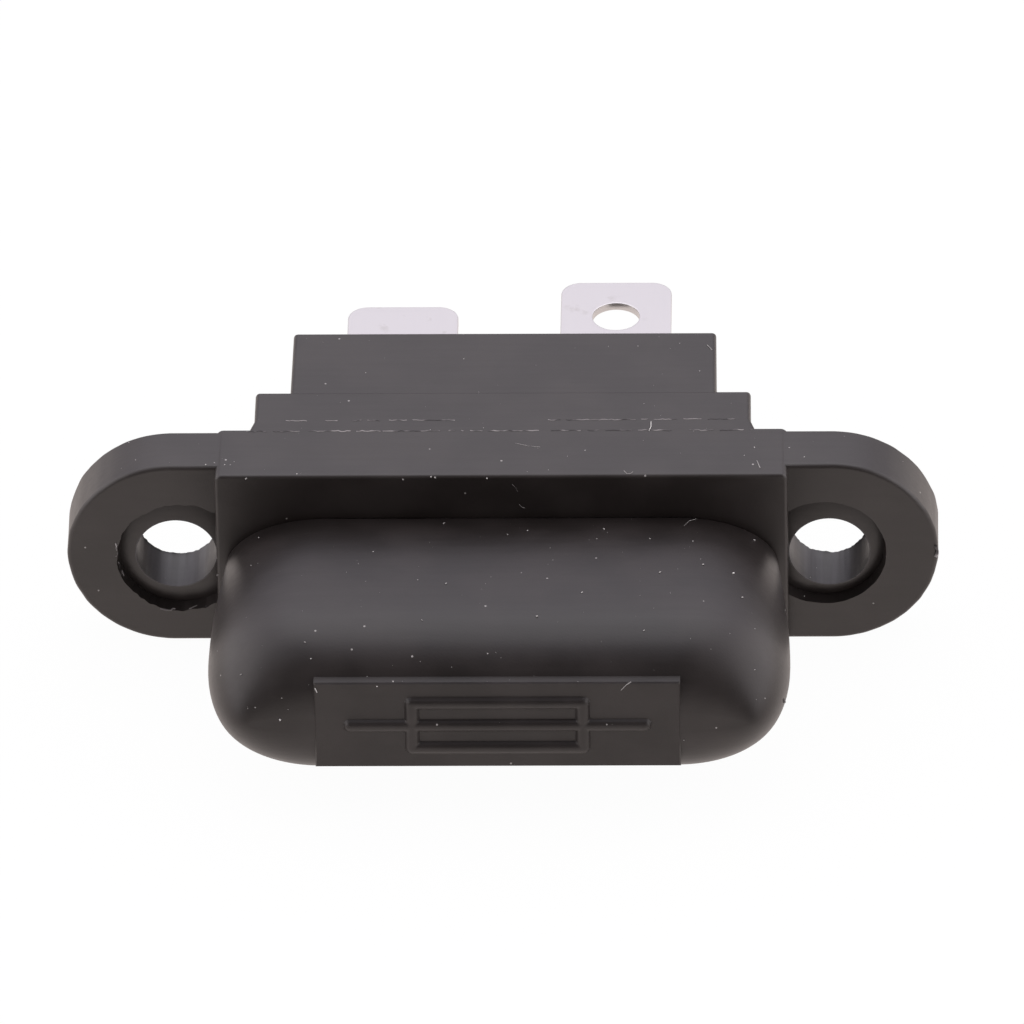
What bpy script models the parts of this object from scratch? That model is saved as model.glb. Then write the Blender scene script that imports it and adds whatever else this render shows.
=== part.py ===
"""Panel-mount holder for a standard blade fuse: moulded body, pull-off cap and two folded contacts.

Metres, +Z up. X runs from ear to ear and Y along the fuse, from the cap at the front to the tabs at the
rear. The holder lies on its long side. Inside the functions, y is measured from the front faces of the ears
and z from the middle of the box; the empty that carries the pieces puts them on the ground.
"""

import math

import bmesh
import bpy
from mathutils import Vector

MM = 0.001

# Clearance that two pieces keep where they meet.
FIT = 0.3 * MM

# The standard blade fuse that the holder takes.
FUSE_WIDTH = 19.1 * MM
FUSE_THICKNESS = 5.1 * MM
FUSE_HEIGHT = 18.5 * MM
BLADE_WIDTH = 5.2 * MM
BLADE_GAP = 4.5 * MM
BLADE_THICKNESS = 0.65 * MM
BLADE_LENGTH = 7.3 * MM

# Room for the fuse in the well, and for the cap's skirts in the shallower mouth round it.
WELL_DEPTH = 5.0 * MM
MOUTH_DEPTH = 3.3 * MM
WELL_SIDE_PLAY = 0.85 * MM
WELL_FLAT_PLAY = 0.2 * MM
WELL_CORNER = 0.6 * MM

# Cap: skirts that plug into the mouth, neck, belly, crown and raised plate.
SKIRT_REACH = 2.5 * MM
SKIRT_END_WALL = 1.1 * MM
SKIRT_SIDE_WALL = 1.0 * MM
SKIRT_END = 4.5 * MM
SKIRT_STEP = 0.6 * MM
SKIRT_LEAD = 0.35 * MM
NECK_WALL = 0.55 * MM
NECK_SHOULDER = 1.4 * MM
NECK_END = 5.5 * MM
BELLY_DISTANCE = 9.6 * MM
BELLY_SWELL_WIDTH = 0.6 * MM
BELLY_SWELL_HEIGHT = 1.25 * MM
CROWN_ROUND_WIDTH = 2.6 * MM
CROWN_ROUND_HEIGHT = 1.65 * MM
CROWN_END = 2.6 * MM
CROWN_WALL = 1.25 * MM
RIB_LENGTH = 7.0 * MM
RIB_THICKNESS = 1.0 * MM
RIB_PITCH = 10.0 * MM
CORE_DRAFT = 0.1 * MM
PLATE_WIDTH = 20.15 * MM
PLATE_HEIGHT = 5.7 * MM
PLATE_PROUD = 0.55 * MM
PLATE_ROOT = 0.75 * MM
PLATE_EDGE = 0.1 * MM

# Housing: box round the mouth, strip, collar and tower behind it.
BOX_END_WALL = 1.65 * MM
BOX_SIDE_WALL = 3.0 * MM
BOX_PROUD = 1.0 * MM
BOX_CORNER = 0.3 * MM
STRIP_INSET = 1.75 * MM
STRIP_DROP = 0.08 * MM
STRIP_LENGTH = 1.1 * MM
STRIP_SLANT = 0.33 * MM
COLLAR_LENGTH = 2.6 * MM
TOWER_INSET = 1.94 * MM
TOWER_DROP = 0.05 * MM
TOWER_DRAFT = 0.03 * MM
TOWER_CORNER = 0.25 * MM
REAR_WALL = 1.4 * MM
EDGE = 0.15 * MM

# Ears with their screw holes.
EAR_THICKNESS = 3.5 * MM
EAR_STEP = 0.07 * MM
BORE_DROP = 0.26 * MM
EAR_TIP_SHIFT = 0.15 * MM
EAR_EDGE = 0.2 * MM
BORE_RADIUS = 2.25 * MM
BORE_LAND = 0.05 * MM
COUNTERBORE_RADIUS = 3.6 * MM
COUNTERBORE_DEPTH = 0.45 * MM
COUNTERBORE_SHIFT = 0.28 * MM

# Contacts: one strip each, rolled round the fuse's blade at the front and flat at the rear.
SHEET = 0.5 * MM
ENTRY_DEPTH = 0.6 * MM
BLADE_SPARE = 0.2 * MM
BLADE_SIDE_PLAY = 0.4 * MM
BASE_PLAY = 0.185 * MM
CURL_PRELOAD = 0.085 * MM
CURL_ANGLE = math.radians(270)
CURL_FLARE_ANGLE = math.radians(215)
CURL_FLARE_LENGTH = 0.9 * MM
LANCE_HALF_WIDTH = 0.7 * MM
LANCE_SLIT = 0.2 * MM
LANCE_LENGTH = 2.6 * MM
LANCE_RISE = 0.45 * MM
LANCE_FROM_REAR = 2.0 * MM
TAB_WIDTH = 6.3 * MM
TAB_SHIFT = 1.25 * MM
JOGGLE_RISE = 0.06 * MM
JOGGLE_RUN = 0.3 * MM
JOGGLE_PROUD = 0.1 * MM
TAB_REACH = 11.9 * MM
TAB_CORNER = 1.15 * MM
TAB_HOLE_RADIUS = 1.33 * MM
TAB_HOLE_FROM_END = {"contact_right": 3.4 * MM, "contact_left": 4.0 * MM}

# Facets of the round forms.
END_STEPS = 8
CORNER_STEPS = 3
EAR_STEPS = 12
BORE_SEGMENTS = 40
CURL_STEPS = 12
TAB_CORNER_STEPS = 5
RISE_ROWS = 7
ROUND_ROWS = 9

# Places along the fuse.
BOX_FRONT = -BOX_PROUD
BOX_REAR = EAR_THICKNESS
WELL_FLOOR = BOX_FRONT + WELL_DEPTH
MOUTH_FLOOR = BOX_FRONT + MOUTH_DEPTH
CONTACT_FRONT = WELL_FLOOR + ENTRY_DEPTH
CURL_REAR = WELL_FLOOR + BLADE_LENGTH + BLADE_SPARE
POCKET_END = CURL_REAR + FIT
TOWER_REAR = POCKET_END + REAR_WALL
COLLAR_FRONT = BOX_REAR + STRIP_LENGTH
COLLAR_REAR = COLLAR_FRONT + COLLAR_LENGTH
JOGGLE_END = TOWER_REAR + JOGGLE_PROUD
JOGGLE_START = JOGGLE_END - JOGGLE_RUN
TAB_END = TOWER_REAR + TAB_REACH
FUSE_FRONT = WELL_FLOOR + BLADE_LENGTH - FUSE_HEIGHT
RIB_FRONT = FUSE_FRONT - FIT
CORE_END = RIB_FRONT - RIB_LENGTH
CROWN = CORE_END - CROWN_WALL
PLATE_FACE = CROWN - PLATE_PROUD
NECK_FACE = BOX_FRONT - FIT
SKIRT_END_FACE = MOUTH_FLOOR - FIT
BELLY = BOX_FRONT - BELLY_DISTANCE

# Half widths and half heights of the nested forms, from the fuse outwards.
WELL = (FUSE_WIDTH / 2 + WELL_SIDE_PLAY, FUSE_THICKNESS / 2 + WELL_FLAT_PLAY)
NECK_HALF_HEIGHT = WELL[1] + NECK_WALL
SKIRT = (WELL[0] + SKIRT_REACH + SKIRT_END_WALL, NECK_HALF_HEIGHT - SKIRT_STEP)
SKIRT_CORE = (SKIRT[0] - SKIRT_END_WALL, SKIRT[1] - SKIRT_SIDE_WALL)
NECK = (SKIRT[0] + NECK_SHOULDER, NECK_HALF_HEIGHT)
BELLY_SIZE = (NECK[0] + BELLY_SWELL_WIDTH, NECK[1] + BELLY_SWELL_HEIGHT)
CROWN_SIZE = (BELLY_SIZE[0] - CROWN_ROUND_WIDTH, BELLY_SIZE[1] - CROWN_ROUND_HEIGHT)
MOUTH = (SKIRT[0] + FIT, max(SKIRT[1] + FIT, WELL[1]))
BOX = (MOUTH[0] + BOX_END_WALL, MOUTH[1] + BOX_SIDE_WALL)
STRIP = (BOX[0] - STRIP_INSET, BOX[1] - STRIP_DROP)
COLLAR = (STRIP[0] - STRIP_SLANT, STRIP[1])
TOWER = (COLLAR[0] - TOWER_INSET, COLLAR[1] - TOWER_DROP)
EAR_RADIUS = BOX[1] - EAR_STEP
BORE_X = BOX[0] + BORE_LAND + BORE_RADIUS
EAR_TIP = BORE_X + EAR_TIP_SHIFT + EAR_RADIUS

# A contact in its own frame: x from the middle of the fuse's blade, z from the blade's mid-plane.
SHEET_Z = BLADE_THICKNESS / 2 + BASE_PLAY + SHEET / 2
CURL_RADIUS = SHEET_Z + BLADE_THICKNESS / 2 - CURL_PRELOAD
CURL_HALF_WIDTH = BLADE_WIDTH / 2 + BLADE_SIDE_PLAY + SHEET
BASE_HALF_WIDTH = CURL_HALF_WIDTH - CURL_RADIUS - SHEET / 2
CURL_BOTTOM = SHEET_Z - 2 * CURL_RADIUS - SHEET / 2
TAB_INNER = TAB_SHIFT - TAB_WIDTH / 2
TAB_OUTER = TAB_SHIFT + TAB_WIDTH / 2
TAB_Z = SHEET_Z + JOGGLE_RISE
LANCE_ROOT = CURL_REAR - LANCE_FROM_REAR
LANCE_TIP = LANCE_ROOT - LANCE_LENGTH
BLADE_X = (BLADE_WIDTH + BLADE_GAP) / 2

GROUND_OFFSET = Vector((0, -(TAB_END + PLATE_FACE) / 2, BOX[1]))
OVERCUT = 0.5 * MM


def finish(name, colour, roughness, metallic):
    """Return a Principled material."""
    material = bpy.data.materials.new(name)
    material.use_nodes = True
    shader = material.node_tree.nodes["Principled BSDF"]
    shader.inputs["Base Color"].default_value = (*colour, 1)
    shader.inputs["Roughness"].default_value = roughness
    shader.inputs["Metallic"].default_value = metallic
    return material


def place(name, bm, carrier, material=None):
    """Turn a bmesh into an object on the carrier; without a material it is a cutter."""
    bmesh.ops.remove_doubles(bm, verts=bm.verts, dist=1e-7)
    bmesh.ops.recalc_face_normals(bm, faces=bm.faces)
    mesh = bpy.data.meshes.new(name)
    bm.to_mesh(mesh)
    bm.free()
    mesh.shade_smooth()
    mesh.set_sharp_from_angle(angle=math.radians(35))
    piece = bpy.data.objects.new(name, mesh)
    bpy.context.collection.objects.link(piece)
    piece.parent = carrier
    if material:
        mesh.materials.append(material)
    else:
        piece.hide_render = True
        piece.display_type = "WIRE"
    return piece


def combine(piece, other, operation):
    """Add a live Boolean with another closed object."""
    modifier = piece.modifiers.new(other.name, "BOOLEAN")
    modifier.object = other
    modifier.operation = operation


def ellipse_corners(half_width, half_height, corner_x, corner_z, steps):
    """Return the outline of a rectangle with elliptical corners, as (x, z) pairs."""
    outline = []
    for quarter, (side_x, side_z) in enumerate(((1, 1), (-1, 1), (-1, -1), (1, -1))):
        for step in range(steps + 1):
            angle = math.pi / 2 * (quarter + step / steps)
            x = side_x * (half_width - corner_x) + corner_x * math.cos(angle)
            z = side_z * (half_height - corner_z) + corner_z * math.sin(angle)
            outline.append((x, z))
    return outline


def lozenge(size, end):
    """Return a flat form with straight long sides and half-ellipse ends."""
    return ellipse_corners(size[0], size[1], end, size[1], END_STEPS)


def rounded(size, radius, inset=0.0):
    """Return a rounded rectangle, drawn in on all sides by the inset."""
    corner = max(radius - inset, 0.02 * MM)
    return ellipse_corners(size[0] - inset, size[1] - inset, corner, corner, CORNER_STEPS)


def loft(bm, sections):
    """Skin (y, outline) sections that have as many points each, and close both ends."""
    rings = []
    for y, outline in sections:
        rings.append([bm.verts.new((x, y, z)) for x, z in outline])
    for ring, following in zip(rings, rings[1:]):
        for index in range(len(ring)):
            after = (index + 1) % len(ring)
            bm.faces.new((ring[index], ring[after], following[after], following[index]))
    bm.faces.new(rings[0])
    bm.faces.new(rings[-1])


def lofted(name, sections, carrier, material=None):
    """Make an object from one loft."""
    bm = bmesh.new()
    loft(bm, sections)
    return place(name, bm, carrier, material)


def block(name, low, high, carrier):
    """Make a square-edged cutter between two corners."""
    (x0, y0, z0), (x1, y1, z1) = low, high
    outline = [(x0, z0), (x1, z0), (x1, z1), (x0, z1)]
    return lofted(name, [(y0, outline), (y1, outline)], carrier)


def disc(x, radius):
    """Return a circle about a screw's place, which lies a little below the ears' centre line."""
    turn = 2 * math.pi / BORE_SEGMENTS
    return [
        (x + radius * math.cos(turn * step), radius * math.sin(turn * step) - BORE_DROP)
        for step in range(BORE_SEGMENTS)
    ]


def ears(carrier):
    """Make both ears as one plate with round ends, bored and spot-faced for the screws."""
    def outline(inset):
        corner = EAR_RADIUS - inset
        return ellipse_corners(EAR_TIP - inset, corner, corner, corner, EAR_STEPS)

    plate = lofted("ears", [
        (0, outline(EAR_EDGE)),
        (EAR_EDGE, outline(0)),
        (EAR_THICKNESS - EAR_EDGE, outline(0)),
        (EAR_THICKNESS, outline(EAR_EDGE)),
    ], carrier)
    for side, word in ((1, "right"), (-1, "left")):
        bore = disc(side * BORE_X, BORE_RADIUS)
        through = [(-OVERCUT, bore), (EAR_THICKNESS + OVERCUT, bore)]
        combine(plate, lofted(f"bore_cutter_{word}", through, carrier), "DIFFERENCE")
        seat = disc(side * (BORE_X - COUNTERBORE_SHIFT), COUNTERBORE_RADIUS)
        shallow = [(-OVERCUT, seat), (COUNTERBORE_DEPTH, seat)]
        combine(plate, lofted(f"counterbore_cutter_{word}", shallow, carrier), "DIFFERENCE")
    return plate


def housing(carrier, material):
    """Make the box, strip, collar and tower as one stepped loft."""
    tower_end = (TOWER[0] - TOWER_DRAFT, TOWER[1] - TOWER_DRAFT)
    return lofted("holder_body", [
        (BOX_FRONT, rounded(BOX, BOX_CORNER, EDGE)),
        (BOX_FRONT + EDGE, rounded(BOX, BOX_CORNER)),
        (BOX_REAR - EDGE, rounded(BOX, BOX_CORNER)),
        (BOX_REAR, rounded(BOX, BOX_CORNER, STRIP_DROP / 2)),
        (BOX_REAR, rounded(STRIP, TOWER_CORNER)),
        (COLLAR_FRONT, rounded(COLLAR, TOWER_CORNER)),
        (COLLAR_REAR, rounded(COLLAR, TOWER_CORNER)),
        (COLLAR_REAR, rounded(TOWER, TOWER_CORNER)),
        (TOWER_REAR - EDGE, rounded(tower_end, TOWER_CORNER)),
        (TOWER_REAR, rounded(tower_end, TOWER_CORNER, EDGE)),
    ], carrier, material)


def contact_space(side, word, body, carrier):
    """Cut the pocket, the tab's keyway and slot, and the lance's recess for one contact."""
    def turned(points):
        return [(side * x, side * z) for x, z in points]

    inner = BLADE_X - CURL_HALF_WIDTH - FIT
    outer = BLADE_X + CURL_HALF_WIDTH + FIT
    tab_outer = max(BLADE_X + TAB_OUTER + FIT, outer + FIT)
    top = SHEET_Z + SHEET / 2 + FIT
    keyway = SHEET_Z - SHEET / 2 - FIT
    bottom = CURL_BOTTOM - FIT
    pocket = turned([
        (inner, bottom),
        (outer, bottom),
        (outer, keyway),
        (tab_outer, keyway),
        (tab_outer, top),
        (inner, top),
    ])
    sections = [(WELL_FLOOR - OVERCUT, pocket), (POCKET_END, pocket)]
    combine(body, lofted(f"pocket_cutter_{word}", sections, carrier), "DIFFERENCE")

    slot_inner = BLADE_X + min(TAB_INNER, -BASE_HALF_WIDTH) - FIT
    slot_outer = BLADE_X + TAB_OUTER + FIT
    slot = turned([
        (slot_inner, keyway),
        (slot_outer, keyway),
        (slot_outer, top),
        (slot_inner, top),
    ])
    sections = [(POCKET_END - OVERCUT, slot), (TOWER_REAR + OVERCUT, slot)]
    combine(body, lofted(f"slot_cutter_{word}", sections, carrier), "DIFFERENCE")

    half = LANCE_HALF_WIDTH + FIT
    ceiling = top + LANCE_RISE
    floor = top - FIT / 2
    recess = turned([
        (BLADE_X - half, floor),
        (BLADE_X + half, floor),
        (BLADE_X + half, ceiling),
        (BLADE_X - half, ceiling),
    ])
    sections = [(LANCE_TIP - FIT, recess), (LANCE_ROOT, recess)]
    combine(body, lofted(f"lance_cutter_{word}", sections, carrier), "DIFFERENCE")


def holder_body(carrier, material):
    """Make the body: housing and ears in one moulding, hollowed for the cap, fuse and contacts."""
    body = housing(carrier, material)
    combine(body, ears(carrier), "UNION")
    mouth = lozenge(MOUTH, SKIRT_END + FIT)
    sections = [(BOX_FRONT - OVERCUT, mouth), (MOUTH_FLOOR, mouth)]
    combine(body, lofted("mouth_cutter", sections, carrier), "DIFFERENCE")
    well = rounded(WELL, WELL_CORNER)
    sections = [(MOUTH_FLOOR - OVERCUT, well), (WELL_FLOOR, well)]
    combine(body, lofted("well_cutter", sections, carrier), "DIFFERENCE")
    contact_space(1, "right", body, carrier)
    contact_space(-1, "left", body, carrier)


def pillow_section(y):
    """Return the outline of the cap's outside at a depth."""
    if y > BELLY:
        share = 1 - math.sin(math.pi / 2 * (NECK_FACE - y) / (NECK_FACE - BELLY))
        smaller, end = NECK, NECK_END
    else:
        share = 1 - math.sqrt(max(0, 1 - ((BELLY - y) / (BELLY - CROWN)) ** 2))
        smaller, end = CROWN_SIZE, NECK_END + (CROWN_END - NECK_END) * share
    size = [belly + (small - belly) * share for belly, small in zip(BELLY_SIZE, smaller)]
    return lozenge(size, end)


def pillow_depths():
    """Return the depths of the cap's sections, closer together where the crown rounds over."""
    rising = [NECK_FACE + (BELLY - NECK_FACE) * row / RISE_ROWS for row in range(RISE_ROWS)]
    turn = math.pi / 2 / ROUND_ROWS
    rounding = [BELLY + (CROWN - BELLY) * math.sin(turn * row) for row in range(ROUND_ROWS + 1)]
    return rising + rounding


def skirts(carrier):
    """Make the two C-shaped skirts that plug into the ends of the mouth."""
    lead = (SKIRT[0] - SKIRT_LEAD, SKIRT[1] - SKIRT_LEAD)
    ring = lofted("skirts", [
        (NECK_FACE - OVERCUT, lozenge(SKIRT, SKIRT_END)),
        (SKIRT_END_FACE - SKIRT_LEAD, lozenge(SKIRT, SKIRT_END)),
        (SKIRT_END_FACE, lozenge(lead, SKIRT_END - SKIRT_LEAD)),
    ], carrier)
    low = (-WELL[0], NECK_FACE - 2 * OVERCUT, -2 * SKIRT[1])
    high = (WELL[0], SKIRT_END_FACE + OVERCUT, 2 * SKIRT[1])
    combine(ring, block("skirt_gap_cutter", low, high, carrier), "DIFFERENCE")
    return ring


def cap_core(cap, carrier):
    """Hollow the cap: room for the fuse's head, chambers between the hold-down ribs, and the ends."""
    deep = (WELL[0] - CORE_DRAFT, WELL[1] - CORE_DRAFT)
    room = [
        (NECK_FACE + OVERCUT, rounded(WELL, WELL_CORNER)),
        (RIB_FRONT, rounded(deep, WELL_CORNER)),
    ]
    combine(cap, lofted("room_cutter", room, carrier), "DIFFERENCE")

    near = RIB_PITCH / 2 - RIB_THICKNESS / 2
    far = RIB_PITCH / 2 + RIB_THICKNESS / 2
    for word, x0, x1 in (("left", -deep[0], -far), ("middle", -near, near), ("right", far, deep[0])):
        centre = (x0 + x1) / 2
        outline = [
            (centre + x, z)
            for x, z in rounded(((x1 - x0) / 2, deep[1] - CORE_DRAFT), WELL_CORNER)
        ]
        chamber = [(RIB_FRONT + OVERCUT, outline), (CORE_END, outline)]
        combine(cap, lofted(f"chamber_cutter_{word}", chamber, carrier), "DIFFERENCE")

    core = lozenge(SKIRT_CORE, SKIRT_END - SKIRT_END_WALL)
    ends = [(SKIRT_END_FACE + OVERCUT, core), (RIB_FRONT, core)]
    combine(cap, lofted("skirt_core_cutter", ends, carrier), "DIFFERENCE")


def fuse_cap(carrier, material):
    """Make the cap: a pillow-shaped shell with a raised plate, two skirts and inner ribs."""
    sections = [(y, pillow_section(y)) for y in pillow_depths()]
    cap = lofted("fuse_cap", sections, carrier, material)
    size = (PLATE_WIDTH / 2, PLATE_HEIGHT / 2)
    plate = lofted("plate", [
        (CROWN + PLATE_ROOT, rounded(size, PLATE_EDGE)),
        (PLATE_FACE + PLATE_EDGE, rounded(size, PLATE_EDGE)),
        (PLATE_FACE, rounded(size, PLATE_EDGE, PLATE_EDGE)),
    ], carrier)
    combine(cap, plate, "UNION")
    combine(cap, skirts(carrier), "UNION")
    cap_core(cap, carrier)


def curl_point(side, angle):
    """Return the (x, z) of the strip's mid-surface at an angle round one rolled edge."""
    x = BASE_HALF_WIDTH + CURL_RADIUS * math.sin(angle)
    z = SHEET_Z - CURL_RADIUS + CURL_RADIUS * math.cos(angle)
    return side * x, z


def rolled_front(bm):
    """Add the flat base with its lance window, the lance, and both rolled edges; return the rear row."""
    slit = LANCE_HALF_WIDTH + LANCE_SLIT
    columns = [-BASE_HALF_WIDTH, -slit, -LANCE_HALF_WIDTH, LANCE_HALF_WIDTH, slit, BASE_HALF_WIDTH]
    rows = [CONTACT_FRONT, CONTACT_FRONT + CURL_FLARE_LENGTH, LANCE_TIP, LANCE_ROOT, CURL_REAR]
    angles = [CURL_FLARE_ANGLE] + [CURL_ANGLE] * (len(rows) - 1)
    grid = [[bm.verts.new((x, y, SHEET_Z)) for x in columns] for y in rows]
    window = rows.index(LANCE_TIP)
    for row in range(len(rows) - 1):
        for column in range(len(columns) - 1):
            if row == window and 0 < column < len(columns) - 2:
                continue
            corners = (grid[row][column], grid[row][column + 1])
            bm.faces.new((*corners, grid[row + 1][column + 1], grid[row + 1][column]))
    tip = [
        bm.verts.new((x, LANCE_TIP + LANCE_SLIT, SHEET_Z + LANCE_RISE))
        for x in (-LANCE_HALF_WIDTH, LANCE_HALF_WIDTH)
    ]
    bm.faces.new((tip[0], tip[1], grid[window + 1][3], grid[window + 1][2]))

    for side, column in ((-1, 0), (1, len(columns) - 1)):
        edge = [line[column] for line in grid]
        for step in range(1, CURL_STEPS + 1):
            following = []
            for y, angle in zip(rows, angles):
                x, z = curl_point(side, angle * step / CURL_STEPS)
                following.append(bm.verts.new((x, y, z)))
            for row in range(len(rows) - 1):
                bm.faces.new((edge[row], edge[row + 1], following[row + 1], following[row]))
            edge = following
    return grid[-1]


def flat_tab(bm, rear_row):
    """Widen the base to the tab, set it off by a slight joggle, and add the tab with two round corners."""
    lead = [
        (BASE_HALF_WIDTH, POCKET_END),
        (TAB_OUTER, POCKET_END),
        (TAB_OUTER, JOGGLE_START),
        (TAB_INNER, JOGGLE_START),
        (TAB_INNER, POCKET_END),
        (-BASE_HALF_WIDTH, POCKET_END),
    ]
    widened = [bm.verts.new((x, y, SHEET_Z)) for x, y in lead]
    bm.faces.new([*rear_row, *widened])

    outline = [(TAB_OUTER, JOGGLE_END)]
    for centre_x, first in ((TAB_OUTER - TAB_CORNER, 0), (TAB_INNER + TAB_CORNER, math.pi / 2)):
        for step in range(TAB_CORNER_STEPS + 1):
            angle = first + math.pi / 2 * step / TAB_CORNER_STEPS
            x = centre_x + TAB_CORNER * math.cos(angle)
            y = TAB_END - TAB_CORNER + TAB_CORNER * math.sin(angle)
            outline.append((x, y))
    outline.append((TAB_INNER, JOGGLE_END))
    border = [bm.verts.new((x, y, TAB_Z)) for x, y in outline]
    bm.faces.new((widened[3], widened[2], border[0], border[-1]))
    bm.faces.new(border)


def contact(name, side, carrier, material):
    """Make one contact; the left one is the same strip turned half round about the fuse's length."""
    bm = bmesh.new()
    flat_tab(bm, rolled_front(bm))
    strip = place(name, bm, carrier, material)
    strip.location = (side * BLADE_X, 0, 0)
    strip.rotation_euler = (0, 0 if side > 0 else math.pi, 0)
    folded = strip.modifiers.new("sheet", "SOLIDIFY")
    folded.thickness = SHEET
    folded.offset = 0
    folded.use_even_offset = True

    bm = bmesh.new()
    centre = Vector((TAB_SHIFT, TAB_END - TAB_HOLE_FROM_END[name], TAB_Z))
    rings = []
    for z in (-2 * SHEET, 2 * SHEET):
        turn = 2 * math.pi / BORE_SEGMENTS
        ring = []
        for step in range(BORE_SEGMENTS):
            spoke = Vector((math.cos(turn * step), math.sin(turn * step), 0)) * TAB_HOLE_RADIUS
            ring.append(bm.verts.new(centre + spoke + Vector((0, 0, z))))
        rings.append(ring)
    for index in range(BORE_SEGMENTS):
        after = (index + 1) % BORE_SEGMENTS
        bm.faces.new((rings[0][index], rings[0][after], rings[1][after], rings[1][index]))
    bm.faces.new(rings[0])
    bm.faces.new(rings[1])
    punch = place(f"{name}_punch", bm, strip)
    combine(strip, punch, "DIFFERENCE")


def main():
    """Build the fuse holder on an empty that stands it on the ground."""
    for old in list(bpy.data.objects):
        bpy.data.objects.remove(old)
    carrier = bpy.data.objects.new("fuse_axis", None)
    bpy.context.collection.objects.link(carrier)
    carrier.location = GROUND_OFFSET
    black = finish("satin_black_moulding", (0.022, 0.019, 0.02), 0.5, 0.0)
    cap_black = finish("soft_black_moulding", (0.02, 0.018, 0.019), 0.45, 0.0)
    tinned = finish("tinned_strip", (0.78, 0.77, 0.76), 0.32, 1.0)
    holder_body(carrier, black)
    fuse_cap(carrier, cap_black)
    contact("contact_right", 1, carrier, tinned)
    contact("contact_left", -1, carrier, tinned)


main()
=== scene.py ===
"""Looks of a panel-mount holder for a blade fuse: moulded body, pillow cap, tinned contacts and studio.

Sizes are fields of the classes below, written in millimetres through MM. Inside the classes y is measured
from the front faces of the ears and z from the middle of the box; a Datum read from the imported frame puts
each finished mesh in its place.
"""

import logging
import math
import random
from collections.abc import Iterable, Sequence
from dataclasses import dataclass, field
from enum import Enum

import bmesh
import bpy
from mathutils import Matrix, Vector, noise
from mathutils.bvhtree import BVHTree


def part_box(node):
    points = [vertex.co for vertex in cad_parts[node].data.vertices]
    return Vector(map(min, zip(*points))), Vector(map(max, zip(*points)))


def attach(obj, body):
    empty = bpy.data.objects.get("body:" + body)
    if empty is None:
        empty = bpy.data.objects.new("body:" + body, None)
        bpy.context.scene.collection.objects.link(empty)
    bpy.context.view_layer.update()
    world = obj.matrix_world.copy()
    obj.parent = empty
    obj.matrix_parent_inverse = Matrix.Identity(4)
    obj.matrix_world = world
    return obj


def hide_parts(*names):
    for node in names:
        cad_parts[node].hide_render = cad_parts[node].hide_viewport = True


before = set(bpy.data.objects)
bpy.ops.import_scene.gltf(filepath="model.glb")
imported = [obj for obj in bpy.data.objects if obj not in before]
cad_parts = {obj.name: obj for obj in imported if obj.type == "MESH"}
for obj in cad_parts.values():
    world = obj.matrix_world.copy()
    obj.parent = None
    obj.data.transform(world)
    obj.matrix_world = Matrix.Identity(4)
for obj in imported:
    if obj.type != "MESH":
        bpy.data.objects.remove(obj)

LOG = logging.getLogger("fuse_holder")
MM = 0.001
PHOTO_SIZE = 1024
OVERCUT = 0.5 * MM
LEAST_CORNER = 0.02 * MM
MERGE_DISTANCE = 1e-7
WHITE = (1.0, 1.0, 1.0)

Outline = list[tuple[float, float]]
Section = tuple[float, Outline]
Colour = tuple[float, float, float]


class Side(Enum):
    """The two ends of the holder, with the sign of x that they lie on."""

    LEFT = -1
    RIGHT = 1


class Body(Enum):
    """The bodies of the frame that pieces ride on."""

    HOLDER = "holder"
    CAP = "cap"


class Slot(Enum):
    """The record's material slots."""

    BODY = "body_moulding"
    CAP = "cap_moulding"
    CONTACT = "tinned_strip"


def per_side(left: float, right: float) -> dict[Side, float]:
    """Return a dataclass field with one value for each side."""
    return field(default_factory=lambda: {Side.LEFT: left, Side.RIGHT: right})


# Node graphs


class Wire:
    """A socket on which Python arithmetic adds Math nodes."""

    def __init__(self, graph: "Graph", socket: bpy.types.NodeSocket | None) -> None:
        """Remember the socket and the graph that it belongs to."""
        self.graph = graph
        self.socket = socket

    def math(self, operation: str, *others: "Wire | float") -> "Wire":
        """Add one Math node.

        Args:
            operation: name of the Math operation.
            others: the second and third operands, where the operation has them.

        Returns:
            The node's result.
        """
        operands = dict(enumerate((self, *others)))
        return self.graph.node("ShaderNodeMath", {"operation": operation}, operands)

    def __add__(self, other: "Wire | float") -> "Wire":
        """Return self + other."""
        return self.math("ADD", other)

    __radd__ = __add__

    def __sub__(self, other: "Wire | float") -> "Wire":
        """Return self - other."""
        return self.math("SUBTRACT", other)

    def __rsub__(self, other: float) -> "Wire":
        """Return other - self."""
        return self.math("MULTIPLY_ADD", -1.0, other)

    def __mul__(self, other: "Wire | float") -> "Wire":
        """Return self * other."""
        return self.math("MULTIPLY", other)

    __rmul__ = __mul__

    def __truediv__(self, other: "Wire | float") -> "Wire":
        """Return self / other."""
        return self.math("DIVIDE", other)

    def __rtruediv__(self, other: float) -> "Wire":
        """Return other / self."""
        return self.math("POWER", -1.0) * other

    def __gt__(self, other: "Wire | float") -> "Wire":
        """Return 1 where self is greater than other, else 0."""
        return self.math("GREATER_THAN", other)

    def __lt__(self, other: "Wire | float") -> "Wire":
        """Return 1 where self is less than other, else 0."""
        return self.math("LESS_THAN", other)

    def sibling(self, output: int | str) -> "Wire":
        """Return another output of the same node."""
        return Wire(self.graph, self.socket.node.outputs[output])

    def blend(self, low: "Wire | float", high: "Wire | float") -> "Wire":
        """Return low where self is 0 and high where it is 1."""
        return low + self * (high - low)

    def ramp(self, low: float, high: float) -> "Wire":
        """Return a smooth rise from 0 at low to 1 at high."""
        sockets = {"Value": self, "From Min": low, "From Max": high}
        return self.graph.node("ShaderNodeMapRange", {"interpolation_type": "SMOOTHSTEP"}, sockets)


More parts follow.
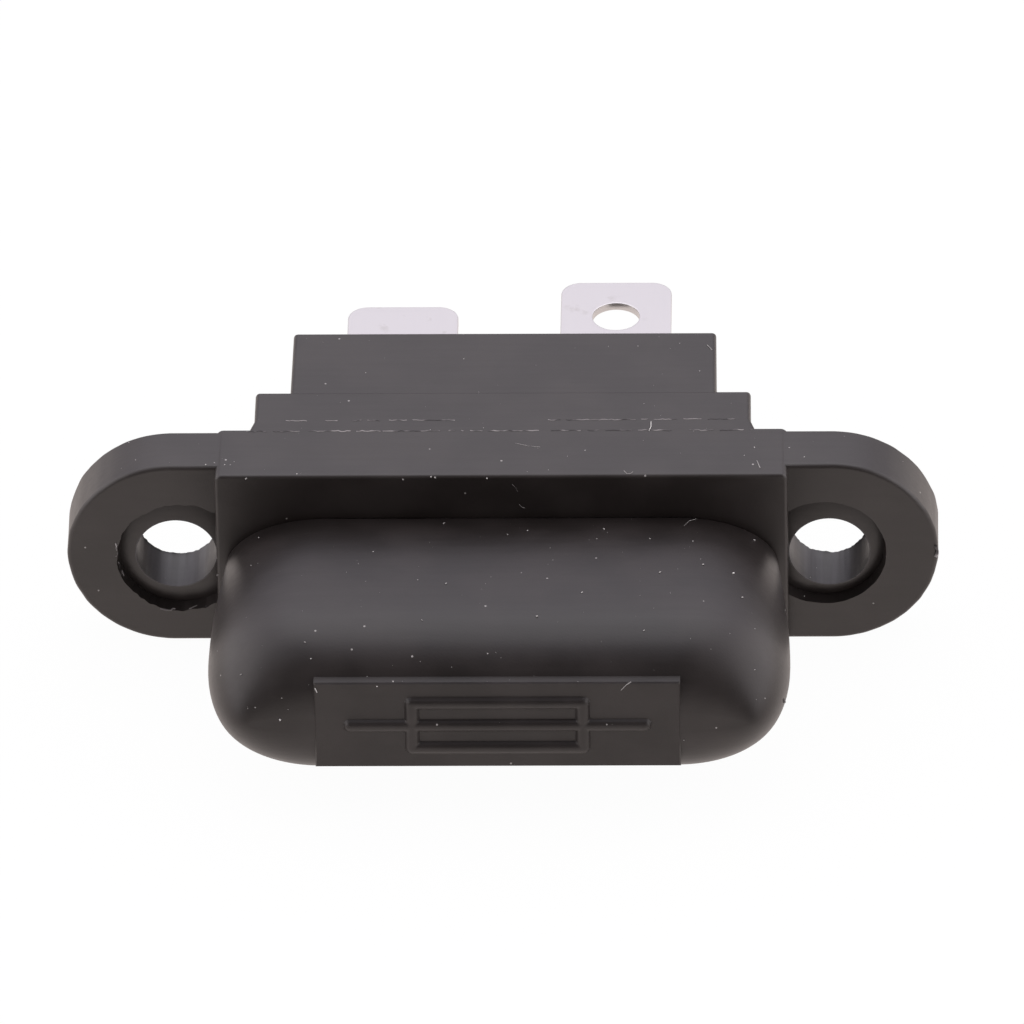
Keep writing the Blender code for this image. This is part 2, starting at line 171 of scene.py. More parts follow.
class Graph:
    """A node tree that is written as calls and expressions."""

    def __init__(self, tree: bpy.types.NodeTree) -> None:
        """Start from an empty tree."""
        self.tree = tree
        tree.nodes.clear()

    def node(self, kind: str, settings: dict | None = None, sockets: dict | None = None,
             output: int | str = 0) -> Wire:
        """Add a node.

        Args:
            kind: the node's type.
            settings: attributes that are set first.
            sockets: values or wires, by the name or number of the input.
            output: name or number of the output to return.

        Returns:
            The chosen output.
        """
        made = self.tree.nodes.new(kind)
        for name, value in (settings or {}).items():
            setattr(made, name, value)
        for name, value in (sockets or {}).items():
            if isinstance(value, Wire):
                self.tree.links.new(value.socket, made.inputs[name])
            else:
                made.inputs[name].default_value = value
        return Wire(self, made.outputs[output] if len(made.outputs) else None)

    def axes(self, vector: Wire) -> tuple[Wire, Wire, Wire]:
        """Return a vector's three parts."""
        x = self.node("ShaderNodeSeparateXYZ", sockets={0: vector})
        return x, x.sibling(1), x.sibling(2)

    def vector(self, x: "Wire | float", y: "Wire | float", z: "Wire | float") -> Wire:
        """Return a vector made of three parts."""
        return self.node("ShaderNodeCombineXYZ", sockets={0: x, 1: y, 2: z})

    def noise(self, place: Wire, scale: float, detail: float = 2.0) -> Wire:
        """Return noise between 0 and 1 about a place, with this many features a metre."""
        sockets = {"Vector": place, "Scale": scale, "Detail": detail}
        return self.node("ShaderNodeTexNoise", {"noise_dimensions": "3D"}, sockets)

    def mix(self, share: "Wire | float", low: "Wire | Colour", high: "Wire | Colour") -> Wire:
        """Return a colour between two others."""
        low, high = (colour if isinstance(colour, Wire) else (*colour, 1) for colour in (low, high))
        sockets = {0: share, 6: low, 7: high}
        return self.node("ShaderNodeMix", {"data_type": "RGBA"}, sockets, output=2)

    def relief(self, height: Wire) -> Wire:
        """Return the normal of a surface that is raised by a height in metres."""
        return self.node("ShaderNodeBump", sockets={"Height": height, "Distance": 1.0})


class GeometryGraph(Graph):
    """A Geometry Nodes tree with named inputs, baked into a plain mesh."""

    SOCKETS = {float: "NodeSocketFloat", int: "NodeSocketInt", bpy.types.Material: "NodeSocketMaterial"}

    def __init__(self, name: str, inputs: dict[str, type]) -> None:
        """Make the tree.

        Args:
            name: the tree's name.
            inputs: the type of each named input.
        """
        super().__init__(bpy.data.node_groups.new(name, "GeometryNodeTree"))
        self.identifiers = {}
        face = self.tree.interface
        face.new_socket("Geometry", in_out="INPUT", socket_type="NodeSocketGeometry")
        for word, kind in {**inputs, "Material": bpy.types.Material}.items():
            made = face.new_socket(word, in_out="INPUT", socket_type=self.SOCKETS[kind])
            self.identifiers[word] = made.identifier
        face.new_socket("Geometry", in_out="OUTPUT", socket_type="NodeSocketGeometry")
        self.entry = self.tree.nodes.new("NodeGroupInput")

    def given(self, word: str) -> Wire:
        """Return one of the named inputs."""
        return Wire(self, self.entry.outputs[word])

    def close(self, geometry: Wire) -> None:
        """End the tree in Realize Instances, Set Material and the output."""
        real = self.node("GeometryNodeRealizeInstances", sockets={0: geometry})
        dressed = self.node(
            "GeometryNodeSetMaterial", sockets={"Geometry": real, "Material": self.given("Material")}
        )
        self.node("NodeGroupOutput", sockets={0: dressed})

    def bake(self, piece: bpy.types.Object, **values: "float | int | bpy.types.Material") -> None:
        """Run the tree on an object and keep only the resulting mesh.

        Args:
            piece: the object whose mesh goes in and comes out.
            values: the named inputs, with an underscore for each space.
        """
        modifier = piece.modifiers.new(self.tree.name, "NODES")
        modifier.node_group = self.tree
        for word, value in values.items():
            modifier[self.identifiers[word.replace("_", " ")]] = value
        bake_modifiers(piece)


# Meshes


def bake_modifiers(piece: bpy.types.Object) -> None:
    """Replace an object's mesh by its evaluated one and drop its modifiers."""
    bpy.context.view_layer.update()
    evaluated = piece.evaluated_get(bpy.context.evaluated_depsgraph_get())
    mesh = bpy.data.meshes.new_from_object(evaluated)
    piece.modifiers.clear()
    old, piece.data = piece.data, mesh
    bpy.data.meshes.remove(old)


def new_object(name: str, mesh: bpy.types.Mesh) -> bpy.types.Object:
    """Return a linked object that shows a mesh."""
    piece = bpy.data.objects.new(name, mesh)
    bpy.context.collection.objects.link(piece)
    return piece


def from_bmesh(name: str, shape: bmesh.types.BMesh) -> bpy.types.Object:
    """Turn a bmesh into an object, merged and with its faces outwards."""
    bmesh.ops.remove_doubles(shape, verts=shape.verts, dist=MERGE_DISTANCE)
    bmesh.ops.recalc_face_normals(shape, faces=shape.faces)
    mesh = bpy.data.meshes.new(name)
    shape.to_mesh(mesh)
    shape.free()
    return new_object(name, mesh)


def ellipse_corners(half_width: float, half_height: float, corner_x: float, corner_z: float,
                    steps: int) -> Outline:
    """Return the outline of a rectangle with elliptical corners.

    Args:
        half_width: half the size along x.
        half_height: half the size along z.
        corner_x: the corners' reach along x.
        corner_z: the corners' reach along z.
        steps: facets in each corner.

    Returns:
        The (x, z) points, anticlockwise from the right.
    """
    outline = []
    for quarter, (side_x, side_z) in enumerate(((1, 1), (-1, 1), (-1, -1), (1, -1))):
        for step in range(steps + 1):
            angle = math.pi / 2 * (quarter + step / steps)
            x = side_x * (half_width - corner_x) + corner_x * math.cos(angle)
            z = side_z * (half_height - corner_z) + corner_z * math.sin(angle)
            outline.append((x, z))
    return outline


def rounded(size: tuple[float, float], radius: float, inset: float = 0.0, steps: int = 5) -> Outline:
    """Return a rounded rectangle, drawn in on all sides by the inset."""
    corner = max(radius - inset, LEAST_CORNER)
    return ellipse_corners(size[0] - inset, size[1] - inset, corner, corner, steps)


def lozenge(size: tuple[float, float], end: float, steps: int = 24) -> Outline:
    """Return a flat form with straight long sides and half-ellipse ends."""
    return ellipse_corners(size[0], size[1], end, size[1], steps)


def eased_edge(face: float, inward: int, radius: float, steps: int = 4) -> list[tuple[float, float]]:
    """Return (y, inset) pairs on the quarter circle that rounds an edge.

    Args:
        face: depth of the face that the edge borders.
        inward: the sign of y that leads into the material.
        radius: the edge's radius.
        steps: facets round the edge.

    Returns:
        The pairs, from the face to the side.
    """
    pairs = []
    for step in range(steps + 1):
        angle = math.pi / 2 * step / steps
        pairs.append((face + inward * radius * (1 - math.cos(angle)), radius * (1 - math.sin(angle))))
    return pairs


def lofted(name: str, sections: Iterable[Section]) -> bpy.types.Object:
    """Skin sections that have as many points each, close both ends and return the object."""
    shape = bmesh.new()
    rings = [[shape.verts.new((x, y, z)) for x, z in outline] for y, outline in sections]
    for ring, following in zip(rings, rings[1:]):
        for index, vertex in enumerate(ring):
            after = (index + 1) % len(ring)
            shape.faces.new((vertex, ring[after], following[after], following[index]))
    shape.faces.new(rings[0])
    shape.faces.new(rings[-1])
    return from_bmesh(name, shape)


def block(name: str, low: Sequence[float], high: Sequence[float]) -> bpy.types.Object:
    """Return a square-edged solid between two corners."""
    (x0, y0, z0), (x1, y1, z1) = low, high
    outline = [(x0, z0), (x1, z0), (x1, z1), (x0, z1)]
    return lofted(name, [(y0, outline), (y1, outline)])


class Workpiece:
    """A solid that is cut and joined with Booleans and then baked."""

    def __init__(self, blank: bpy.types.Object) -> None:
        """Take the blank."""
        self.object = blank
        self.tools: list[bpy.types.Object] = []

    def combine(self, tool: bpy.types.Object, operation: str) -> None:
        """Add one Boolean with another closed solid."""
        modifier = self.object.modifiers.new(tool.name, "BOOLEAN")
        modifier.object = tool
        modifier.operation = operation
        self.tools.append(tool)

    def cut(self, tool: bpy.types.Object) -> None:
        """Take a solid away."""
        self.combine(tool, "DIFFERENCE")

    def join(self, tool: bpy.types.Object) -> None:
        """Fuse a solid on."""
        self.combine(tool, "UNION")

    def bake(self) -> bpy.types.Object:
        """Apply the Booleans, delete the tools and return the object."""
        bake_modifiers(self.object)
        for tool in self.tools:
            bpy.data.objects.remove(tool)
        self.tools.clear()
        return self.object


def smooth(piece: bpy.types.Object, sharp_degrees: float = 35.0) -> None:
    """Shade a piece smooth between its sharp edges, with flat faces kept flat."""
    piece.data.shade_smooth()
    piece.data.set_sharp_from_angle(angle=math.radians(sharp_degrees))
    weighted = piece.modifiers.new("flat_faces_rule", "WEIGHTED_NORMAL")
    weighted.keep_sharp = True
    bake_modifiers(piece)


@dataclass(frozen=True)
class Datum:
    """Where the drawing's origin lies in the frame: ear fronts in y, mid-height in z."""

    y: float
    z: float

    @property
    def point(self) -> Vector:
        """The origin as a point of the frame."""
        return Vector((0, self.y, self.z))


def deliver(piece: bpy.types.Object, datum: Datum | None, body: Body,
            replaced: str | None = None) -> bpy.types.Object:
    """Put a finished piece in the frame.

    Args:
        piece: the object, built about the drawing's origin.
        datum: where that origin lies, or None for a mesh that is in its place already.
        body: the body that it rides on.
        replaced: the CAD node that it stands for.

    Returns:
        The same object.
    """
    if datum:
        piece.data.transform(Matrix.Translation(datum.point))
    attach(piece, body.value)
    if replaced:
        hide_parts(replaced)
    LOG.info("%s: %d faces on %s", piece.name, len(piece.data.polygons), body.value)
    return piece


# Finishes


class Finish:
    """A surface finish that builds its own material."""

    OURS = "built_here"
    name: str

    def material(self) -> bpy.types.Material:
        """Return the material, built at the first call."""
        known = bpy.data.materials.get(self.name)
        if known and known.get(self.OURS):
            return known
        made = bpy.data.materials.new(self.name)
        made[self.OURS] = True
        made.use_nodes = True
        graph = Graph(made.node_tree)
        place = graph.node("ShaderNodeTexCoord", output="Object")
        shader = self.shader(graph, place)
        graph.node("ShaderNodeOutputMaterial", sockets={"Surface": shader})
        return made

    def shader(self, graph: Graph, place: Wire) -> Wire:
        """Return the surface shader for a place on the piece."""
        raise NotImplementedError

    def dress(self, piece: bpy.types.Object) -> None:
        """Make this the piece's only material."""
        piece.data.materials.clear()
        piece.data.materials.append(self.material())


@dataclass(frozen=True)
class Moulding(Finish):
    """Black moulded plastic: satin, finely grained, faintly cloudy and speckled with dust."""

    name: str
    base: Colour
    clouded: Colour
    roughness: float
    ior: float = 1.55
    roughness_swing: float = 0.09
    cloud_scale: float = 240.0
    cloud_edge: tuple[float, float] = (0.35, 0.65)
    grain_scale: float = 7500.0
    grain_depth: float = 0.0042 * MM
    streak_scale: float = 3200.0
    streak_depth: float = 0.002 * MM
    streak_stretch: float = 0.06
    speck_scale: float = 1500.0
    speck_share: float = 0.06
    speck_size: float = 0.09
    speck_colour: Colour = (0.3, 0.29, 0.28)

    def specks(self, graph: Graph, place: Wire) -> Wire:
        """Return 1 on fine pale specks and 0 between them."""
        sockets = {"Vector": place, "Scale": self.speck_scale}
        distance = graph.node("ShaderNodeTexVoronoi", {"feature": "F1"}, sockets, output="Distance")
        chance = graph.axes(distance.sibling("Color"))[0]
        return (distance < self.speck_size) * (chance < self.speck_share)

    def add_painted_light(self, graph: Graph, place: Wire, colour: Wire) -> Wire:
        """Return the colour with the painted light added to it, which is nothing for the plain moulding."""
        return colour

    def shader(self, graph: Graph, place: Wire) -> Wire:
        """Return the moulding's shader."""
        cloud = graph.noise(place, self.cloud_scale, 3.0)
        grain = graph.noise(place, self.grain_scale)
        x, y, z = graph.axes(place)
        streak = graph.noise(graph.vector(x * self.streak_stretch, y, z), self.streak_scale, 1.0)
        colour = graph.mix(cloud.ramp(*self.cloud_edge), self.base, self.clouded)
        colour = graph.mix(self.specks(graph, place), colour, self.speck_colour)
        colour = self.add_painted_light(graph, place, colour)
        uneven = (cloud - 0.5) * self.roughness_swing + (streak - 0.5) * self.roughness_swing
        return graph.node("ShaderNodeBsdfPrincipled", sockets={
            "Base Color": colour,
            "Roughness": uneven + self.roughness,
            "IOR": self.ior,
            "Normal": graph.relief(grain * self.grain_depth + streak * self.streak_depth),
        })


@dataclass(frozen=True)
class BoredMoulding(Moulding):
    """The moulding with the walls of its two screw holes painted pale along their length: painted light for
    the light that comes through the holes from behind.
    """

    bore_x: float = 18.25 * MM
    bore_z: float = 5.74 * MM
    bore_reach: float = 2.32 * MM
    # The paler colour of the painted light on the walls of the screw holes.
    painted_bore_light: Colour = (0.055, 0.053, 0.056)
    bore_light_scale: float = 1900.0
    bore_light_stretch: float = 0.05
    bore_light_edge: tuple[float, float] = (0.35, 0.65)
    bore_light_least: float = 0.2
    bore_light_gain: float = 0.7

    def add_painted_light(self, graph: Graph, place: Wire, colour: Wire) -> Wire:
        """Return the colour, painted paler in streaks on the walls of the screw holes: painted light."""
        x, y, z = graph.axes(place)
        across = x.math("ABSOLUTE") - self.bore_x
        over = z - self.bore_z
        inside = (across * across + over * over).math("SQRT") < self.bore_reach
        streak = graph.noise(graph.vector(x, y * self.bore_light_stretch, z), self.bore_light_scale).ramp(*self.bore_light_edge)
        # Painted light: the hole walls are mixed towards a paler colour in streaks, standing in for light
        # that comes through the holes from behind.
        return graph.mix(inside * (streak * self.bore_light_gain + self.bore_light_least), colour, self.painted_bore_light)


@dataclass(frozen=True)
class TinPlate(Finish):
    """Tin-plated strip: pale metal with faint rolling lines and a few grey smudges."""

    name: str = "tin_plated_strip"
    base: Colour = (0.56, 0.548, 0.548)
    smudged: Colour = (0.5, 0.485, 0.48)
    roughness: float = 0.34
    roughness_swing: float = 0.12
    smudge_scale: float = 900.0
    smudge_edge: tuple[float, float] = (0.62, 0.74)
    smudge_roughness: float = 0.1
    rolling_scale: float = 5200.0
    rolling_stretch: float = 0.04
    rolling_depth: float = 0.0012 * MM

    def shader(self, graph: Graph, place: Wire) -> Wire:
        """Return the tin plate's shader."""
        x, y, z = graph.axes(place)
        rolled = graph.noise(graph.vector(x, y * self.rolling_stretch, z), self.rolling_scale, 1.0)
        smudge = graph.noise(place, self.smudge_scale, 4.0).ramp(*self.smudge_edge)
        uneven = (rolled - 0.5) * self.roughness_swing + smudge * self.smudge_roughness
        return graph.node("ShaderNodeBsdfPrincipled", sockets={
            "Base Color": graph.mix(smudge, self.base, self.smudged),
            "Metallic": 1.0,
            "Roughness": uneven + self.roughness,
            "Normal": graph.relief(rolled * self.rolling_depth),
        })


@dataclass(frozen=True)
class Patchy(Finish):
    """A dull surface whose colour wanders between two shades."""

    name: str
    dark: Colour
    pale: Colour
    patch_scale: float
    patch_edge: tuple[float, float]
    roughness: float

    def shader(self, graph: Graph, place: Wire) -> Wire:
        """Return the patchy shader."""
        patch = graph.noise(place, self.patch_scale).ramp(*self.patch_edge)
        return graph.node("ShaderNodeBsdfPrincipled", sockets={
            "Base Color": graph.mix(patch, self.dark, self.pale),
            "Roughness": self.roughness,
        })


FLUFF = Patchy("pale_fluff", (0.32, 0.31, 0.30), (0.62, 0.61, 0.59), 700.0, (0.35, 0.65), 0.9)
FLASH = Patchy("torn_flash", (0.03, 0.027, 0.028), (0.3, 0.285, 0.28), 1300.0, (0.38, 0.62), 0.5)


# The holder


@dataclass(frozen=True)
class BladeFuse:
    """The standard fuse that sets the sizes of the hollows."""

    width: float = 19.1 * MM
    thickness: float = 5.1 * MM
    height: float = 18.5 * MM
    blade_width: float = 5.2 * MM
    blade_gap: float = 4.5 * MM
    blade_thickness: float = 0.65 * MM
    blade_length: float = 7.3 * MM

    @property
    def blade_x(self) -> float:
        """Distance of a blade's middle from the fuse's middle."""
        return (self.blade_width + self.blade_gap) / 2


@dataclass(frozen=True)
class Layout:
    """The sizes that body, cap and contacts share."""

    fuse: BladeFuse = field(default_factory=BladeFuse)
    fit: float = 0.3 * MM
    box_proud: float = 1.0 * MM
    ear_thickness: float = 3.5 * MM
    well_depth: float = 5.0 * MM
    mouth_depth: float = 3.3 * MM
    well_side_play: float = 0.85 * MM
    well_flat_play: float = 0.2 * MM
    well_corner: float = 0.6 * MM
    skirt_reach: float = 2.5 * MM
    skirt_end_wall: float = 1.1 * MM
    skirt_side_wall: float = 1.0 * MM
    skirt_end: float = 4.5 * MM
    skirt_step: float = 0.6 * MM
    neck_wall: float = 0.55 * MM
    blade_spare: float = 0.2 * MM
    rear_wall: float = 1.4 * MM

    @property
    def box_front(self) -> float:
        """Depth of the box's front face."""
        return -self.box_proud

    @property
    def well_floor(self) -> float:
        """Depth at which the fuse's body rests."""
        return self.box_front + self.well_depth

    @property
    def mouth_floor(self) -> float:
        """Depth of the mouth for the skirts."""
        return self.box_front + self.mouth_depth

    @property
    def curl_rear(self) -> float:
        """Depth at which the contacts' rolled part ends."""
        return self.well_floor + self.fuse.blade_length + self.blade_spare

    @property
    def pocket_end(self) -> float:
        """Depth of the contact pockets."""
        return self.curl_rear + self.fit

    @property
    def tower_rear(self) -> float:
        """Depth of the rear face."""
        return self.pocket_end + self.rear_wall

    @property
    def fuse_front(self) -> float:
        """Depth of the fuse's head."""
        return self.well_floor + self.fuse.blade_length - self.fuse.height

    @property
    def well(self) -> tuple[float, float]:
        """Half sizes of the room for the fuse."""
        return self.fuse.width / 2 + self.well_side_play, self.fuse.thickness / 2 + self.well_flat_play

    @property
    def neck_half_height(self) -> float:
        """Half the cap's height where it meets the box."""
        return self.well[1] + self.neck_wall

    @property
    def skirt(self) -> tuple[float, float]:
        """Half sizes of the skirts' outline."""
        return self.well[0] + self.skirt_reach + self.skirt_end_wall, self.neck_half_height - self.skirt_step

    @property
    def mouth(self) -> tuple[float, float]:
        """Half sizes of the mouth that takes the skirts."""
        return self.skirt[0] + self.fit, max(self.skirt[1] + self.fit, self.well[1])


@dataclass
class HolderBody:
    """One moulding: ears, box, strip, collar and tower, hollowed for the cap, fuse and contacts."""

    layout: Layout
    datum: Datum
    finish: Finish
    end_wall: float = 1.65 * MM
    half_height: float = 6.0 * MM
    edge: float = 0.2 * MM
    rear_edge: float = 0.06 * MM
    corner: float = 0.4 * MM
    strip_inset: float = 1.75 * MM
    strip_drop: float = 0.08 * MM
    strip_length: float = 1.1 * MM
    strip_slant: float = 0.33 * MM
    collar_length: float = 2.6 * MM
    collar_edge: float = 0.1 * MM
    tower_inset: float = 1.94 * MM
    tower_drop: float = 0.05 * MM
    tower_draft: float = 0.03 * MM
    tower_corner: float = 0.25 * MM
    tower_edge: float = 0.15 * MM
    ear_step: float = 0.07 * MM
    ear_edge: float = 0.26 * MM
    ear_tip_shift: float = 0.15 * MM
    ear_steps: int = 48
    bore_land: float = 0.05 * MM
    bore_radius: float = 2.25 * MM
    bore_drop: float = 0.26 * MM
    bore_segments: int = 144
    torn_inset: float = 0.05 * MM
    torn_depth: float = 0.2 * MM
    torn_stray: float = 0.14 * MM
    torn_seed: int = 7
    seat_radius: dict[Side, float] = per_side(3.6 * MM, 3.47 * MM)
    seat_lift: dict[Side, float] = per_side(0.0, 0.22 * MM)
    seat_stray: dict[Side, float] = per_side(0.22 * MM, 0.06 * MM)
    seat_calmer: float = 0.4
    seat_seed: int = 3
    seat_lip: float = 0.04 * MM
    seat_groove: float = 0.76 * MM
    seat_slope: float = 0.12 * MM
    seat_depth: float = 0.45 * MM
    seat_land: float = 0.06 * MM
    seat_shift: float = 0.28 * MM
    mouth_edge: float = 0.12 * MM

    UNEVEN_PITCH = 0.6 * MM
    UNEVEN_SHARE = 0.0013
    RAGGED_WAVES = ((3.1, 0.6), (11.3, 0.4))

    @property
    def box(self) -> tuple[float, float]:
        """Half sizes of the box."""
        return self.layout.mouth[0] + self.end_wall, self.half_height

    @property
    def strip(self) -> tuple[float, float]:
        """Half sizes of the strip behind the box."""
        return self.box[0] - self.strip_inset, self.half_height - self.strip_drop

    @property
    def collar(self) -> tuple[float, float]:
        """Half sizes of the collar behind the strip."""
        return self.strip[0] - self.strip_slant, self.strip[1]

    @property
    def tower(self) -> tuple[float, float]:
        """Half sizes of the tower that houses the contacts."""
        return self.collar[0] - self.tower_inset, self.collar[1] - self.tower_drop

    @property
    def collar_front(self) -> float:
        """Depth of the line between strip and collar."""
        return self.layout.ear_thickness + self.strip_length

    @property
    def collar_rear(self) -> float:
        """Depth of the step between collar and tower."""
        return self.collar_front + self.collar_length

    @property
    def bore_x(self) -> float:
        """Distance of a screw hole from the middle."""
        return self.box[0] + self.bore_land + self.bore_radius

    @property
    def ear_radius(self) -> float:
        """Radius of an ear's round end."""
        return self.half_height - self.ear_step

    def housing(self) -> bpy.types.Object:
        """Return the box, strip, collar and tower as one stepped loft."""
        rear, tower = self.layout.ear_thickness, self.tower
        tip = (tower[0] - self.tower_draft, tower[1] - self.tower_draft)
        front_edge = eased_edge(self.layout.box_front, 1, self.edge)
        rear_edge = reversed(eased_edge(rear, -1, self.rear_edge, 2))
        collar_edge = reversed(eased_edge(self.collar_rear, -1, self.collar_edge, 3))
        tower_edge = reversed(eased_edge(self.layout.tower_rear, -1, self.tower_edge))
        shallow = self.tower_drop / 2
        return lofted("holder_moulding", [
            *((y, rounded(self.box, self.corner, inset)) for y, inset in (*front_edge, *rear_edge)),
            (rear, rounded(self.strip, self.tower_corner)),
            (self.collar_front, rounded(self.collar, self.tower_corner)),
            *((y, rounded(self.collar, self.tower_corner, min(inset, shallow))) for y, inset in collar_edge),
            (self.collar_rear, rounded(tower, self.tower_corner)),
            *((y, rounded(tip, self.tower_corner, inset)) for y, inset in tower_edge),
        ])

    def ears(self) -> bpy.types.Object:
        """Return both ears as one plate with round, slightly uneven ends."""
        thickness = self.layout.ear_thickness
        front = eased_edge(0, 1, self.ear_edge)
        rear = reversed(eased_edge(thickness, -1, self.ear_edge))
        tip = self.bore_x + self.ear_tip_shift + self.ear_radius
        sections = []
        for y, inset in (*front, *rear):
            corner = self.ear_radius - inset
            outline = ellipse_corners(tip - inset, corner, corner, corner, self.ear_steps)
            sections.append((y, [self.uneven(x, y, z) for x, z in outline]))
        return lofted("ears", sections)

    def uneven(self, x: float, y: float, z: float) -> tuple[float, float]:
        """Return (x, z) moved a little in or out, as a well-used mould leaves it."""
        share = 1 + self.UNEVEN_SHARE * noise.noise(Vector((x, y, z)) / self.UNEVEN_PITCH)
        return x * share, z * share

    def disc(self, x: float, radius: float, ragged: float = 0.0, seed: int = 0,
             lift: float = 0.0) -> Outline:
        """Return a circle about a screw's place.

        Args:
            x: the circle's middle.
            radius: its radius.
            ragged: how far its edge strays.
            seed: which of the ragged edges.
            lift: how far it lies above the bore's middle.

        Returns:
            The (x, z) points.
        """
        points = []
        for step in range(self.bore_segments):
            angle = 2 * math.pi * step / self.bore_segments
            spoke = Vector((math.cos(angle), math.sin(angle), seed))
            stray = sum(noise.noise(spoke * scale) * share for scale, share in self.RAGGED_WAVES)
            reach = radius + ragged * stray
            points.append((x + reach * math.cos(angle), reach * math.sin(angle) - self.bore_drop + lift))
        return points

    def screw_place(self, body: Workpiece, side: Side) -> None:
        """Bore one ear and face its screw seat, with the ragged edge of a well-used mould."""
        x = side.value * self.bore_x
        rear = self.layout.ear_thickness
        bore = self.disc(x, self.bore_radius)
        torn = self.disc(x, self.bore_radius - self.torn_inset, self.torn_stray, self.torn_seed + side.value)
        body.cut(lofted(f"bore_{side.name}", [
            (-OVERCUT, bore), (rear - self.torn_depth, bore), (rear, torn), (rear + OVERCUT, torn)
        ]))
        x_seat = side.value * (self.bore_x - self.seat_shift)
        radius, ragged, lift = self.seat_radius[side], self.seat_stray[side], self.seat_lift[side]
        seed = self.seat_seed + side.value
        mouth = self.disc(x_seat, radius, ragged, seed, lift)
        floor = self.disc(x_seat, radius - self.seat_slope, ragged * self.seat_calmer, seed, lift)
        middle = self.disc(x, self.bore_radius + self.seat_land)
        body.cut(lofted(f"seat_{side.name}", [
            (-OVERCUT, mouth), (self.seat_lip, mouth), (self.seat_groove, floor), (self.seat_depth, middle)
        ]))

    def contact_space(self, body: Workpiece, side: Side, strip: "ContactStrip") -> None:
        """Cut the pocket, the tab's keyway and slot, and the lance's recess for one contact."""
        fit = self.layout.fit
        blade_x = self.layout.fuse.blade_x

        def carve(word: str, depths: tuple[float, float], low: tuple[float, float],
                  high: tuple[float, float]) -> None:
            corners = [low, (high[0], low[1]), high, (low[0], high[1])]
            outline = [(side.value * (blade_x + x), side.value * z) for x, z in corners]
            body.cut(lofted(f"{word}_{side.name}", [(y, outline) for y in depths]))

        start, end = self.layout.well_floor - OVERCUT, self.layout.pocket_end
        half = strip.curl_half_width + fit
        top = strip.sheet_z + strip.sheet / 2 + fit
        keyway = strip.sheet_z - strip.sheet / 2 - fit
        outer = max(strip.tab_outer + fit, half + fit)
        inner = min(strip.tab_inner, -strip.base_half_width) - fit
        lance = strip.lance_half_width + fit
        carve("pocket", (start, end), (-half, strip.curl_bottom - fit), (half, top))
        carve("keyway", (start, end), (0, keyway), (outer, top))
        carve("slot", (end - OVERCUT, self.layout.tower_rear + OVERCUT), (inner, keyway),
              (strip.tab_outer + fit, top))
        carve("recess", (strip.lance_tip - fit, strip.lance_root), (-lance, top - fit / 2),
              (lance, top + strip.lance_rise))

    def build(self, strip: "ContactStrip") -> bpy.types.Object:
        """Build, dress and deliver the body.

        Args:
            strip: the contact whose pockets are cut.

        Returns:
            The finished piece.
        """
        layout = self.layout
        body = Workpiece(self.housing())
        body.join(self.ears())
        edge = self.mouth_edge
        mouth = []
        for y, inset in ((layout.box_front - OVERCUT, 0), (layout.box_front, 0),
                         (layout.box_front + edge, edge), (layout.mouth_floor, edge)):
            size = (layout.mouth[0] + edge - inset, layout.mouth[1] + edge - inset)
            mouth.append((y, lozenge(size, layout.skirt_end + layout.fit)))
        body.cut(lofted("mouth", mouth))
        well = rounded(layout.well, layout.well_corner)
        body.cut(lofted("well", [(layout.mouth_floor - OVERCUT, well), (layout.well_floor, well)]))
        for side in Side:
            self.contact_space(body, side, strip)
            self.screw_place(body, side)
        piece = body.bake()
        smooth(piece)
        self.finish.dress(piece)
        return deliver(piece, self.datum, Body.HOLDER, "holder_body")


